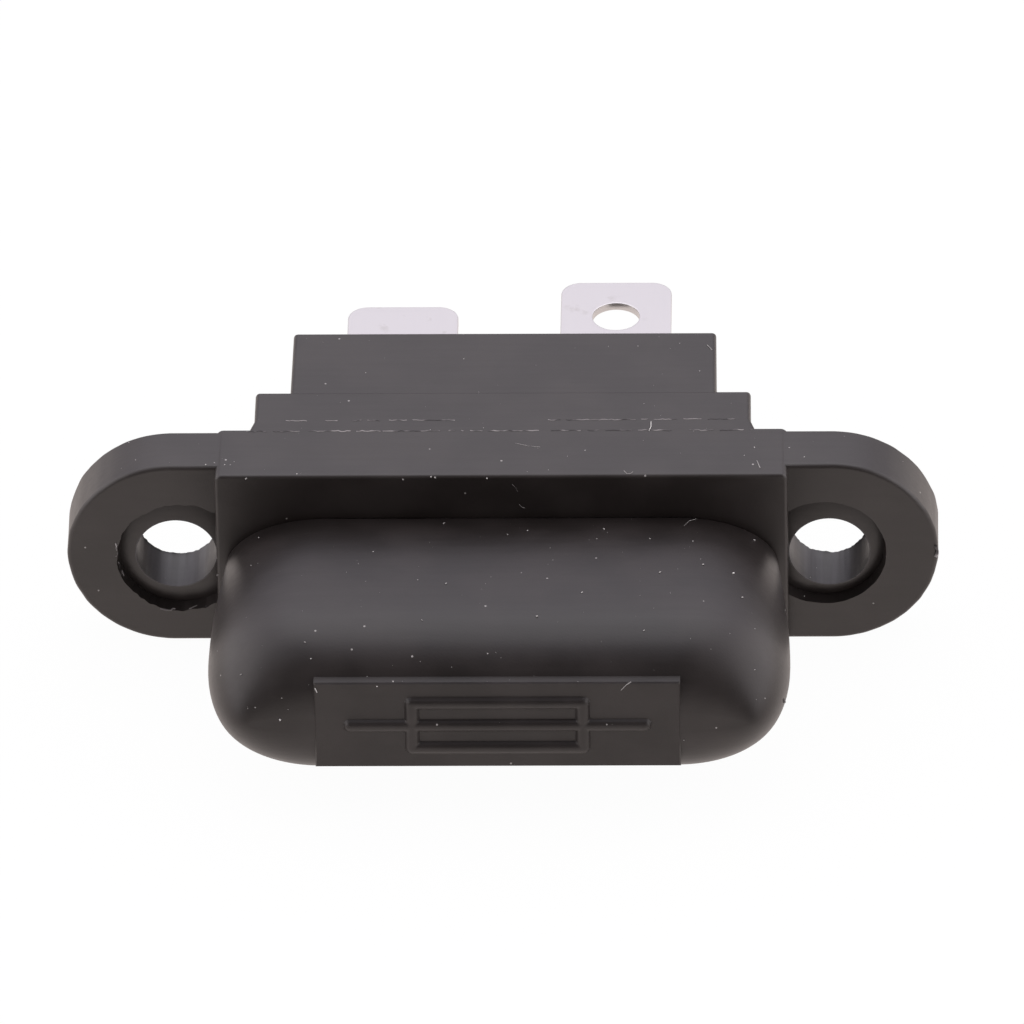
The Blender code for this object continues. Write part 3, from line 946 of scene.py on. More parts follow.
@dataclass
class FusePlate:
    """The raised plate on the cap, with the plain circuit symbol of a fuse moulded on its face."""

    width: float = 20.15 * MM
    height: float = 5.7 * MM
    proud: float = 0.05 * MM
    root: float = 0.75 * MM
    ease: float = 0.09 * MM
    pitch: float = 0.07 * MM
    stroke: float = 0.37 * MM
    stroke_proud: float = 0.28 * MM
    symbol_half_width: float = 4.7 * MM
    symbol_half_height: float = 1.5 * MM
    lead_reach: float = 8.1 * MM

    def strokes(self) -> list[tuple[Vector, Vector]]:
        """Return the symbol's strokes as pairs of (x, z) ends: a box and the line through it."""
        x, z = self.symbol_half_width, self.symbol_half_height
        corners = [Vector(corner) for corner in ((-x, -z), (x, -z), (x, z), (-x, z))]
        sides = list(zip(corners, corners[1:] + corners[:1]))
        return [*sides, (Vector((-self.lead_reach, 0)), Vector((self.lead_reach, 0)))]

    def depth(self, x: float, z: float) -> float:
        """Return how far the surface lies behind the plate's flat face at a point."""
        point = Vector((x, z))
        nearest = min(self.distance(point, start, end) for start, end in self.strokes())
        crest = self.stroke_proud * math.sqrt(max(1 - (nearest / self.stroke) ** 2, 0))
        border = min(self.width / 2 - abs(x), self.height / 2 - abs(z), self.ease)
        return self.ease - math.sqrt(self.ease ** 2 - (self.ease - border) ** 2) - crest

    @staticmethod
    def distance(point: Vector, start: Vector, end: Vector) -> float:
        """Return the distance from a point to a stroke."""
        run = end - start
        share = min(max((point - start).dot(run) / run.length_squared, 0), 1)
        return (point - start - run * share).length

    def solid(self, crown: float) -> bpy.types.Object:
        """Return the plate as a closed solid rooted in the crown."""
        columns = round(self.width / self.pitch)
        rows = round(self.height / self.pitch)
        shape = bmesh.new()
        grid = []
        for row in range(rows + 1):
            z = self.height * (row / rows - 0.5)
            line = []
            for column in range(columns + 1):
                x = self.width * (column / columns - 0.5)
                line.append(shape.verts.new((x, crown - self.proud + self.depth(x, z), z)))
            grid.append(line)
        for line, above in zip(grid, grid[1:]):
            for index in range(columns):
                shape.faces.new((line[index], line[index + 1], above[index + 1], above[index]))
        border = (
            grid[0] + [line[-1] for line in grid[1:]]
            + grid[-1][-2::-1] + [line[0] for line in grid[-2:0:-1]]
        )
        root = [shape.verts.new((vertex.co.x, crown + self.root, vertex.co.z)) for vertex in border]
        for index, vertex in enumerate(border):
            after = (index + 1) % len(border)
            shape.faces.new((vertex, border[after], root[after], root[index]))
        shape.faces.new(root)
        return from_bmesh("plate", shape)


@dataclass
class PillowCap:
    """The pull-off cap: a pillow-shaped shell with a raised plate, two skirts and hold-down ribs."""

    layout: Layout
    datum: Datum
    finish: Finish
    plate: FusePlate = field(default_factory=FusePlate)
    skirt_lead: float = 0.35 * MM
    neck_shoulder: float = 1.4 * MM
    neck_end: float = 5.5 * MM
    belly_distance: float = 10.0 * MM
    belly_swell: tuple[float, float] = (0.7 * MM, 1.45 * MM)
    crown_round: float = 2.4 * MM
    crown_end: float = 5.5 * MM
    crown_wall: float = 1.75 * MM
    crown_power: float = 2.6
    crown_flat: float = 0.6 * MM
    rib_length: float = 7.0 * MM
    rib_thickness: float = 1.0 * MM
    rib_pitch: float = 10.0 * MM
    core_draft: float = 0.1 * MM
    rise_rows: int = 22
    round_rows: int = 28
    corner_steps: int = 26

    @property
    def neck_face(self) -> float:
        """Depth of the face that meets the box."""
        return self.layout.box_front - self.layout.fit

    @property
    def neck(self) -> tuple[float, float]:
        """Half sizes at the neck."""
        return self.layout.skirt[0] + self.neck_shoulder, self.layout.neck_half_height

    @property
    def belly(self) -> tuple[float, float]:
        """Half sizes at the widest place."""
        return self.neck[0] + self.belly_swell[0], self.neck[1] + self.belly_swell[1]

    @property
    def rib_front(self) -> float:
        """Depth at which the hold-down ribs start."""
        return self.layout.fuse_front - self.layout.fit

    @property
    def core_end(self) -> float:
        """Depth at which the hollow ends."""
        return self.rib_front - self.rib_length

    @property
    def crown(self) -> float:
        """Depth of the crown."""
        return self.core_end - self.crown_wall

    def pillow_tree(self) -> GeometryGraph:
        """Return the Geometry Nodes tree of the pillow: rings that swell to the belly and round over."""
        lengths = [
            "Neck Depth", "Neck Width", "Neck Height", "Neck End", "Belly Depth", "Belly Width",
            "Belly Height", "Crown Depth", "Crown Width", "Crown Height", "Crown End", "Crown Power",
        ]
        counts = ["Rise Rows", "Round Rows", "Corner Steps"]
        inputs = {word: float if word in lengths else int for word in (*lengths, *counts)}
        graph = GeometryGraph("pillow_shell", inputs)
        neck_depth, neck_width, neck_height, neck_end = map(graph.given, lengths[:4])
        belly_depth, belly_width, belly_height = map(graph.given, lengths[4:7])
        crown_depth, crown_width, crown_height, crown_end, power = map(graph.given, lengths[7:])
        rise, around, steps = map(graph.given, counts)
        ring = (steps + 1) * 4 + 1
        sheet = graph.node("GeometryNodeMeshGrid", sockets={
            "Vertices X": rise + around + 1, "Vertices Y": ring,
        })
        number = graph.node("GeometryNodeInputIndex")
        row = (number / ring).math("FLOOR")
        spot = number - row * ring

        quarter_turn = math.pi / 2
        over = row > rise
        rising = (row / rise).math("MINIMUM", 1.0)
        bulge = 1 - (rising * quarter_turn).math("SINE")
        last = (crown_height / belly_height).math("POWER", power / 2).math("ARCCOSINE")
        turn = ((row - rise) / around).math("MAXIMUM", 0.0) * last
        reach = (turn.math("SINE") / last.math("SINE")).math("POWER", 2 / power)
        slimmer = over.blend(bulge, 1 - (1 - reach * reach).math("SQRT"))
        depth = over.blend(rising.blend(neck_depth, belly_depth), reach.blend(belly_depth, crown_depth))
        half_width = slimmer.blend(belly_width, over.blend(neck_width, crown_width))
        half_height = over.blend(
            bulge.blend(belly_height, neck_height),
            belly_height * turn.math("COSINE").math("POWER", 2 / power),
        )
        end = (slimmer * over).blend(neck_end, crown_end)

        quarter = (spot / (steps + 1)).math("FLOOR")
        angle = (quarter + (spot - quarter * (steps + 1)) / steps) * quarter_turn
        left = (quarter - 1.5).math("ABSOLUTE") < 1.0
        x = left.blend(1.0, -1.0) * (half_width - end) + end * angle.math("COSINE")
        place = graph.vector(x, depth, half_height * angle.math("SINE"))
        moved = graph.node("GeometryNodeSetPosition", sockets={"Geometry": sheet, "Position": place})
        merged = graph.node("GeometryNodeMergeByDistance", sockets={"Geometry": moved, "Distance": 1e-6})
        graph.close(merged)
        return graph

    def pillow(self) -> bpy.types.Object:
        """Return the closed pillow without its plate and skirts."""
        shell = new_object("cap_moulding", bpy.data.meshes.new("cap_moulding"))
        self.pillow_tree().bake(
            shell, Material=self.finish.material(),
            Neck_Depth=self.neck_face, Belly_Depth=self.layout.box_front - self.belly_distance,
            Crown_Depth=self.crown, Neck_Width=self.neck[0], Neck_Height=self.neck[1],
            Belly_Width=self.belly[0], Belly_Height=self.belly[1],
            Crown_Width=self.belly[0] - self.crown_round, Crown_Height=self.crown_flat,
            Neck_End=self.neck_end, Crown_End=self.crown_end, Crown_Power=self.crown_power,
            Rise_Rows=self.rise_rows, Round_Rows=self.round_rows, Corner_Steps=self.corner_steps,
        )
        shape = bmesh.new()
        shape.from_mesh(shell.data)
        rims = [edge for edge in shape.edges if edge.is_boundary]
        bmesh.ops.holes_fill(shape, edges=rims, sides=0)
        bmesh.ops.recalc_face_normals(shape, faces=shape.faces)
        shape.to_mesh(shell.data)
        shape.free()
        return shell

    def skirts(self) -> bpy.types.Object:
        """Return the two C-shaped skirts that plug into the ends of the mouth."""
        layout = self.layout
        end = layout.mouth_floor - layout.fit
        lead = (layout.skirt[0] - self.skirt_lead, layout.skirt[1] - self.skirt_lead)
        ring = Workpiece(lofted("skirts", [
            (self.neck_face - OVERCUT, lozenge(layout.skirt, layout.skirt_end)),
            (end - self.skirt_lead, lozenge(layout.skirt, layout.skirt_end)),
            (end, lozenge(lead, layout.skirt_end - self.skirt_lead)),
        ]))
        low = (-layout.well[0], self.neck_face - 2 * OVERCUT, -2 * layout.skirt[1])
        high = (layout.well[0], end + OVERCUT, 2 * layout.skirt[1])
        ring.cut(block("skirt_gap", low, high))
        return ring.bake()

    def hollow(self, cap: Workpiece) -> None:
        """Cut the room for the fuse's head, the chambers between the ribs, and the skirts' insides."""
        layout = self.layout
        deep = (layout.well[0] - self.core_draft, layout.well[1] - self.core_draft)
        cap.cut(lofted("room", [
            (self.neck_face + OVERCUT, rounded(layout.well, layout.well_corner)),
            (self.rib_front, rounded(deep, layout.well_corner)),
        ]))
        near = (self.rib_pitch - self.rib_thickness) / 2
        far = (self.rib_pitch + self.rib_thickness) / 2
        for x0, x1 in ((-deep[0], -far), (-near, near), (far, deep[0])):
            size = ((x1 - x0) / 2, deep[1] - self.core_draft)
            outline = [((x0 + x1) / 2 + x, z) for x, z in rounded(size, layout.well_corner)]
            chamber = [(self.rib_front + OVERCUT, outline), (self.core_end, outline)]
            cap.cut(lofted("chamber", chamber))
        wall = layout.skirt_end_wall
        core = lozenge((layout.skirt[0] - wall, layout.skirt[1] - layout.skirt_side_wall),
                       layout.skirt_end - wall)
        end = layout.mouth_floor - layout.fit
        cap.cut(lofted("skirt_core", [(end + OVERCUT, core), (self.rib_front, core)]))

    def build(self) -> bpy.types.Object:
        """Build, dress and deliver the cap, and return it."""
        cap = Workpiece(self.pillow())
        cap.join(self.plate.solid(self.crown))
        cap.join(self.skirts())
        self.hollow(cap)
        piece = cap.bake()
        smooth(piece)
        self.finish.dress(piece)
        return deliver(piece, self.datum, Body.CAP, "fuse_cap")


@dataclass
class ContactStrip:
    """One folded contact: a base with rolled edges and a lance at the front, a flat tab at the rear."""

    layout: Layout
    datum: Datum
    finish: Finish
    tab_end: float
    sheet: float = 0.5 * MM
    entry: float = 0.6 * MM
    blade_side_play: float = 0.4 * MM
    base_play: float = 0.185 * MM
    preload: float = 0.085 * MM
    curl_angle: float = math.radians(270)
    flare_angle: float = math.radians(215)
    flare_length: float = 0.9 * MM
    lance_half_width: float = 0.7 * MM
    lance_slit: float = 0.2 * MM
    lance_length: float = 2.6 * MM
    lance_rise: float = 0.45 * MM
    lance_from_rear: float = 2.0 * MM
    tab_width: float = 6.3 * MM
    tab_shift: float = 1.25 * MM
    joggle_rise: float = 0.06 * MM
    joggle_run: float = 0.3 * MM
    joggle_proud: float = 0.1 * MM
    tab_corner: float = 1.15 * MM
    hole_radius: float = 1.33 * MM
    hole_from_end: dict[Side, float] = per_side(4.15 * MM, 3.4 * MM)
    edge: float = 0.07 * MM
    edge_segments: int = 2
    edge_angle: float = math.radians(50)
    curl_steps: int = 28
    corner_steps: int = 20
    hole_segments: int = 72

    @property
    def sheet_z(self) -> float:
        """Height of the sheet's middle over the blade's."""
        return self.layout.fuse.blade_thickness / 2 + self.base_play + self.sheet / 2

    @property
    def curl_radius(self) -> float:
        """Radius of the rolled edges, to the sheet's middle."""
        return self.sheet_z + self.layout.fuse.blade_thickness / 2 - self.preload

    @property
    def curl_half_width(self) -> float:
        """Half the width over the rolled edges."""
        return self.layout.fuse.blade_width / 2 + self.blade_side_play + self.sheet

    @property
    def base_half_width(self) -> float:
        """Half the width of the flat base."""
        return self.curl_half_width - self.curl_radius - self.sheet / 2

    @property
    def curl_bottom(self) -> float:
        """Lowest height of the rolled edges."""
        return self.sheet_z - 2 * self.curl_radius - self.sheet / 2

    @property
    def tab_z(self) -> float:
        """Height of the tab's middle."""
        return self.sheet_z + self.joggle_rise

    @property
    def tab_inner(self) -> float:
        """The tab's edge on the fuse's middle side."""
        return self.tab_shift - self.tab_width / 2

    @property
    def tab_outer(self) -> float:
        """The tab's outer edge."""
        return self.tab_shift + self.tab_width / 2

    @property
    def lance_root(self) -> float:
        """Depth at which the lance leaves the base."""
        return self.layout.curl_rear - self.lance_from_rear

    @property
    def lance_tip(self) -> float:
        """Depth of the lance's free end."""
        return self.lance_root - self.lance_length

    def rolled_front(self, shape: bmesh.types.BMesh) -> list[bmesh.types.BMVert]:
        """Add the base with its lance and both rolled edges, and return the base's rear row."""
        half, lance = self.base_half_width, self.lance_half_width
        slit = lance + self.lance_slit
        columns = [-half, -slit, -lance, lance, slit, half]
        front = self.layout.well_floor + self.entry
        rows = [front, front + self.flare_length, self.lance_tip, self.lance_root, self.layout.curl_rear]
        angles = [self.flare_angle] + [self.curl_angle] * (len(rows) - 1)
        grid = [[shape.verts.new((x, y, self.sheet_z)) for x in columns] for y in rows]
        window = rows.index(self.lance_tip)
        for row in range(len(rows) - 1):
            for column in range(len(columns) - 1):
                if row == window and 0 < column < len(columns) - 2:
                    continue
                near, far = grid[row], grid[row + 1]
                shape.faces.new((near[column], near[column + 1], far[column + 1], far[column]))
        tip = [
            shape.verts.new((x, self.lance_tip + self.lance_slit, self.sheet_z + self.lance_rise))
            for x in (-lance, lance)
        ]
        shape.faces.new((tip[0], tip[1], grid[window + 1][3], grid[window + 1][2]))
        for side, column in ((-1, 0), (1, -1)):
            edge = [line[column] for line in grid]
            for step in range(1, self.curl_steps + 1):
                following = []
                for y, angle in zip(rows, angles):
                    turn = angle * step / self.curl_steps
                    x = side * (half + self.curl_radius * math.sin(turn))
                    z = self.sheet_z - self.curl_radius * (1 - math.cos(turn))
                    following.append(shape.verts.new((x, y, z)))
                for row in range(len(rows) - 1):
                    shape.faces.new((edge[row], edge[row + 1], following[row + 1], following[row]))
                edge = following
        return grid[-1]

    def tab(self, shape: bmesh.types.BMesh, rear_row: list[bmesh.types.BMVert]) -> None:
        """Widen the base to the tab, set that off by a slight joggle and round its two corners."""
        root = self.layout.pocket_end
        end = self.layout.tower_rear + self.joggle_proud
        start = end - self.joggle_run
        half, inner, outer = self.base_half_width, self.tab_inner, self.tab_outer
        lead = [(half, root), (outer, root), (outer, start), (inner, start), (inner, root), (-half, root)]
        widened = [shape.verts.new((x, y, self.sheet_z)) for x, y in lead]
        shape.faces.new([*rear_row, *widened])
        outline = [(outer, end)]
        for centre, first in ((outer - self.tab_corner, 0), (inner + self.tab_corner, 1)):
            for step in range(self.corner_steps + 1):
                angle = math.pi / 2 * (first + step / self.corner_steps)
                x = centre + self.tab_corner * math.cos(angle)
                outline.append((x, self.tab_end - self.tab_corner * (1 - math.sin(angle))))
        outline.append((inner, end))
        border = [shape.verts.new((x, y, self.tab_z)) for x, y in outline]
        shape.faces.new((widened[3], widened[2], border[0], border[-1]))
        shape.faces.new(border)

    def punch(self, side: Side) -> bpy.types.Object:
        """Return the round punch for the hole in one side's tab."""
        shape = bmesh.new()
        centre = Vector((self.tab_shift, self.tab_end - self.hole_from_end[side], self.tab_z))
        bmesh.ops.create_cone(
            shape, cap_ends=True, segments=self.hole_segments, radius1=self.hole_radius,
            radius2=self.hole_radius, depth=4 * self.sheet, matrix=Matrix.Translation(centre),
        )
        return from_bmesh("punch", shape)

    def build(self, side: Side) -> bpy.types.Object:
        """Build, dress and deliver one contact.

        Args:
            side: which contact; the left one is turned half round.

        Returns:
            The finished piece.
        """
        shape = bmesh.new()
        self.tab(shape, self.rolled_front(shape))
        strip = from_bmesh(f"tinned_contact_{side.name.lower()}", shape)
        sheet = strip.modifiers.new("sheet", "SOLIDIFY")
        sheet.thickness = self.sheet
        sheet.offset = 0
        sheet.use_even_offset = True
        work = Workpiece(strip)
        work.cut(self.punch(side))
        piece = work.bake()
        rolled = piece.modifiers.new("stamped_edge", "BEVEL")
        rolled.width = self.edge
        rolled.segments = self.edge_segments
        rolled.limit_method = "ANGLE"
        rolled.angle_limit = self.edge_angle
        bake_modifiers(piece)
        smooth(piece)
        turn = Matrix.Rotation(0 if side is Side.RIGHT else math.pi, 4, "Y")
        shift = Matrix.Translation((side.value * self.layout.fuse.blade_x, 0, 0))
        piece.data.transform(shift @ turn)
        self.finish.dress(piece)
        return deliver(piece, self.datum, Body.HOLDER, f"contact_{side.name.lower()}")


# Studio


@dataclass(frozen=True)
class StudioCamera:
    """A long lens that looks down on the cap, fitted to the photograph."""

    target: Vector
    elevation: float = 35.3
    azimuth: float = 1.6
    roll: float = -1.1
    distance: float = 900 * MM
    lens: float = 566.5
    sensor: float = 36.0
    aim_right: float = 0.525 * MM
    aim_up: float = 2.30 * MM
    clip: tuple[float, float] = (0.05, 50.0)

    def axes(self) -> tuple[Vector, Vector, Vector]:
        """Return the picture's right, its up and the viewing direction."""
        lift, turn, tilt = (math.radians(a) for a in (self.elevation, self.azimuth, self.roll))
        forward = Vector((-math.sin(turn) * math.cos(lift), math.cos(turn) * math.cos(lift), -math.sin(lift)))
        level = Vector((math.cos(turn), math.sin(turn), 0))
        upright = level.cross(forward)
        right = level * math.cos(tilt) + upright * math.sin(tilt)
        up = upright * math.cos(tilt) - level * math.sin(tilt)
        return right, up, forward

    def eye(self) -> Vector:
        """Return the camera's place."""
        right, up, forward = self.axes()
        return self.target - forward * self.distance + right * self.aim_right + up * self.aim_up

    def ray(self, pixel: tuple[float, float]) -> Vector:
        """Return the direction in which a pixel of the photograph looks."""
        right, up, forward = self.axes()
        scale = self.sensor / self.lens / PHOTO_SIZE
        across = (pixel[0] - PHOTO_SIZE / 2) * scale
        down = (pixel[1] - PHOTO_SIZE / 2) * scale
        return (forward + right * across - up * down).normalized()

    def build(self) -> None:
        """Create the camera and make it the scene's."""
        right, up, forward = self.axes()
        data = bpy.data.cameras.new("studio_camera")
        data.lens = self.lens
        data.sensor_width = self.sensor
        data.clip_start, data.clip_end = self.clip
        camera = bpy.data.objects.new("studio_camera", data)
        bpy.context.collection.objects.link(camera)
        turn = Matrix((right, up, -forward)).transposed().to_4x4()
        camera.matrix_world = Matrix.Translation(self.eye()) @ turn
        bpy.context.scene.camera = camera


@dataclass(frozen=True)
class Studio:
    """A white table under a soft dome: bright above and at the sides, dim in front and low at the back."""

    floor_half_size: float = 3.0
    floor_colour: Colour = (0.93, 0.92, 0.915)
    floor_glow: float = 0.97
    reflection_glow_near: Colour = (1.05, 0.945, 0.9)
    reflection_glow_far: Colour = (0.3, 0.27, 0.26)
    floor_dim_from: float = -15 * MM
    floor_dim_to: float = -110 * MM
    sky: Colour = (1.27, 1.205, 1.33)
    zenith: Colour = (0.93, 0.885, 0.975)
    zenith_from: float = 0.72
    zenith_to: float = 0.97
    sides: Colour = (2.2, 2.07, 2.1)
    side_from: float = 0.16
    side_to: float = 0.72
    front: Colour = (0.13, 0.118, 0.115)
    dim_from: float = 0.1
    dim_to: float = -0.7
    rear: Colour = (0.12, 0.115, 0.125)
    rear_low: float = 0.0
    rear_high: float = 0.62
    rear_from: float = 0.35
    rear_to: float = 0.8
    softbox_size: float = 0.9
    softbox_height: float = 0.9
    softbox_behind: float = 0.35
    softbox_power: float = 2.6

    def floor(self) -> None:
        """Lay the white table, which keeps a faint shadow and, in reflections only, glows as a painted
        reflection.
        """
        shape = bmesh.new()
        bmesh.ops.create_grid(shape, x_segments=1, y_segments=1, size=self.floor_half_size)
        floor = from_bmesh("table", shape)
        made = bpy.data.materials.new("white_table")
        made.cycles.emission_sampling = "NONE"
        made.use_nodes = True
        graph = Graph(made.node_tree)
        camera = graph.node("ShaderNodeLightPath", output="Is Camera Ray")
        matte = graph.node("ShaderNodeBsdfDiffuse", sockets={"Color": (*self.floor_colour, 1)})
        depth = graph.axes(graph.node("ShaderNodeTexCoord", output="Object"))[1]
        # Painted reflection: for glossy rays the table glows, warm near the holder and dimmer far in front.
        near = depth.ramp(self.floor_dim_to, self.floor_dim_from)
        mirrored = graph.mix(near, self.reflection_glow_far, self.reflection_glow_near)
        colour = graph.mix(camera, mirrored, WHITE)
        glow = graph.node("ShaderNodeEmission", sockets={"Color": colour, "Strength": 1.0})
        share = camera * self.floor_glow + camera.sibling("Is Glossy Ray")
        mixed = graph.node("ShaderNodeMixShader", sockets={0: share, 1: matte, 2: glow})
        graph.node("ShaderNodeOutputMaterial", sockets={"Surface": mixed})
        floor.data.materials.append(made)

    def dome(self) -> None:
        """Light the world: white to the camera, dimmer in front and low at the back for all else."""
        world = bpy.data.worlds.new("studio_dome")
        bpy.context.scene.world = world
        world.use_nodes = True
        graph = Graph(world.node_tree)
        direction = graph.node("ShaderNodeTexCoord", output="Generated")
        across, depth, height = graph.axes(direction)
        above = graph.mix(height.ramp(self.zenith_from, self.zenith_to), self.sky, self.zenith)
        graded = graph.mix(depth.ramp(self.dim_to, self.dim_from), self.front, above)
        low = 1.0 - height.ramp(self.rear_low, self.rear_high)
        graded = graph.mix(depth.ramp(self.rear_from, self.rear_to) * low, graded, self.rear)
        graded = graph.mix((across * across).ramp(self.side_from, self.side_to), graded, self.sides)
        seen = graph.node("ShaderNodeLightPath", output="Is Camera Ray")
        colour = graph.mix(seen, graded, WHITE)
        shader = graph.node("ShaderNodeBackground", sockets={"Color": colour, "Strength": 1.0})
        graph.node("ShaderNodeOutputWorld", sockets={"Surface": shader})

    def softbox(self) -> None:
        """Hang the large soft lamp over and behind the table."""
        data = bpy.data.lights.new("softbox", "AREA")
        data.size = self.softbox_size
        data.energy = self.softbox_power
        lamp = bpy.data.objects.new("softbox", data)
        bpy.context.collection.objects.link(lamp)
        lamp.location = (0, self.softbox_behind, self.softbox_height)
        lamp.rotation_euler = (-math.atan2(self.softbox_behind, self.softbox_height), 0, 0)

    def build(self) -> None:
        """Set up table, dome and lamp."""
        self.floor()
        self.dome()
        self.softbox()
        bpy.context.scene.view_settings.view_transform = "Standard"


# Dust and wear


@dataclass(frozen=True)
class Dust:
    """Fine pale specks scattered over the faces that look up."""

    finish: Finish = FLUFF
    density: dict[Body, float] = field(default_factory=lambda: {Body.HOLDER: 1.5e5, Body.CAP: 1.7e5})
    smallest: float = 0.012 * MM
    largest: float = 0.042 * MM
    flatness: float = 0.7
    least_upward: float = 0.05
    seed: int = 11

    def tree(self) -> GeometryGraph:
        """Return the Geometry Nodes tree that lays small grains on a piece's upper faces."""
        inputs = {"Density": float, "Smallest": float, "Largest": float, "Seed": int}
        graph = GeometryGraph("dust_grains", inputs)
        source = graph.given("Geometry")
        upward = graph.axes(graph.node("GeometryNodeInputNormal"))[2] > self.least_upward
        points = graph.node("GeometryNodeDistributePointsOnFaces", sockets={
            "Mesh": source, "Selection": upward,
            "Density": graph.given("Density"), "Seed": graph.given("Seed"),
        })
        grain = graph.node("GeometryNodeMeshIcoSphere", sockets={"Radius": 1.0, "Subdivisions": 1})
        chance = graph.node("FunctionNodeRandomValue", {"data_type": "FLOAT"}, {
            2: 0.0, 3: 1.0, 8: graph.given("Seed"),
        }, output=1)
        size = (chance * chance * chance).blend(graph.given("Smallest"), graph.given("Largest"))
        laid = graph.node("GeometryNodeInstanceOnPoints", sockets={
            "Points": points, "Instance": grain, "Scale": graph.vector(size, size, size * self.flatness),
        })
        graph.close(laid)
        return graph

    def build(self, pieces: dict[Body, bpy.types.Object]) -> None:
        """Dust the pieces, with one mesh of grains for each body."""
        tree = self.tree()
        for offset, (body, piece) in enumerate(pieces.items()):
            grains = new_object(f"dust_on_{body.value}", piece.data.copy())
            tree.bake(
                grains, Density=self.density[body], Smallest=self.smallest, Largest=self.largest,
                Seed=self.seed + offset, Material=self.finish.material(),
            )
            deliver(grains, None, body)


class PhotoSight:
    """Finds the place on a finished piece that a pixel of the photograph shows."""

    PIXEL = MM / 17.9

    def __init__(self, camera: StudioCamera, pieces: dict[Body, bpy.types.Object]) -> None:
        """Prepare the finished pieces for sight lines."""
        self.camera = camera
        self.trees = {body: self.tree(piece) for body, piece in pieces.items()}

    @staticmethod
    def tree(piece: bpy.types.Object) -> BVHTree:
        """Return the search tree of a piece's faces."""
        mesh = piece.data
        points = [vertex.co.copy() for vertex in mesh.vertices]
        return BVHTree.FromPolygons(points, [tuple(face.vertices) for face in mesh.polygons])

    def spot(self, pixel: tuple[float, float],
             inward: tuple[float, float] = (0.0, 0.0)) -> tuple[Body, Vector, Vector] | None:
        """Return what a pixel shows.

        Args:
            pixel: the place in the photograph.
            inward: pixels by which the sight line is aimed further in, for a place on the outline.

        Returns:
            The body, the point and the normal, or None beside the holder.
        """
        eye = self.camera.eye()
        ray = self.camera.ray((pixel[0] + inward[0], pixel[1] + inward[1]))
        found = None
        nearest = math.inf
        for body, tree in self.trees.items():
            point, normal, _, distance = tree.ray_cast(eye, ray)
            if point is not None and distance < nearest:
                nearest = distance
                found = (body, point, normal)
        if found and any(inward):
            right, up, _ = self.camera.axes()
            aimed = found[1] + (up * inward[1] - right * inward[0]) * self.PIXEL
            point, normal, _, _ = self.trees[found[0]].find_nearest(aimed)
            found = (found[0], point, normal)
        return found


@dataclass(frozen=True)
class Mark:
    """Something thin that lies on the holder: a thread, a speck, or the torn edge of a parting line."""

    path: tuple[tuple[float, float], ...]
    radius: float
    gaps: float = 0.0
    stray: float = 0.0
    sunk: float = 0.0
    inward: tuple[float, float] = (0.0, 0.0)


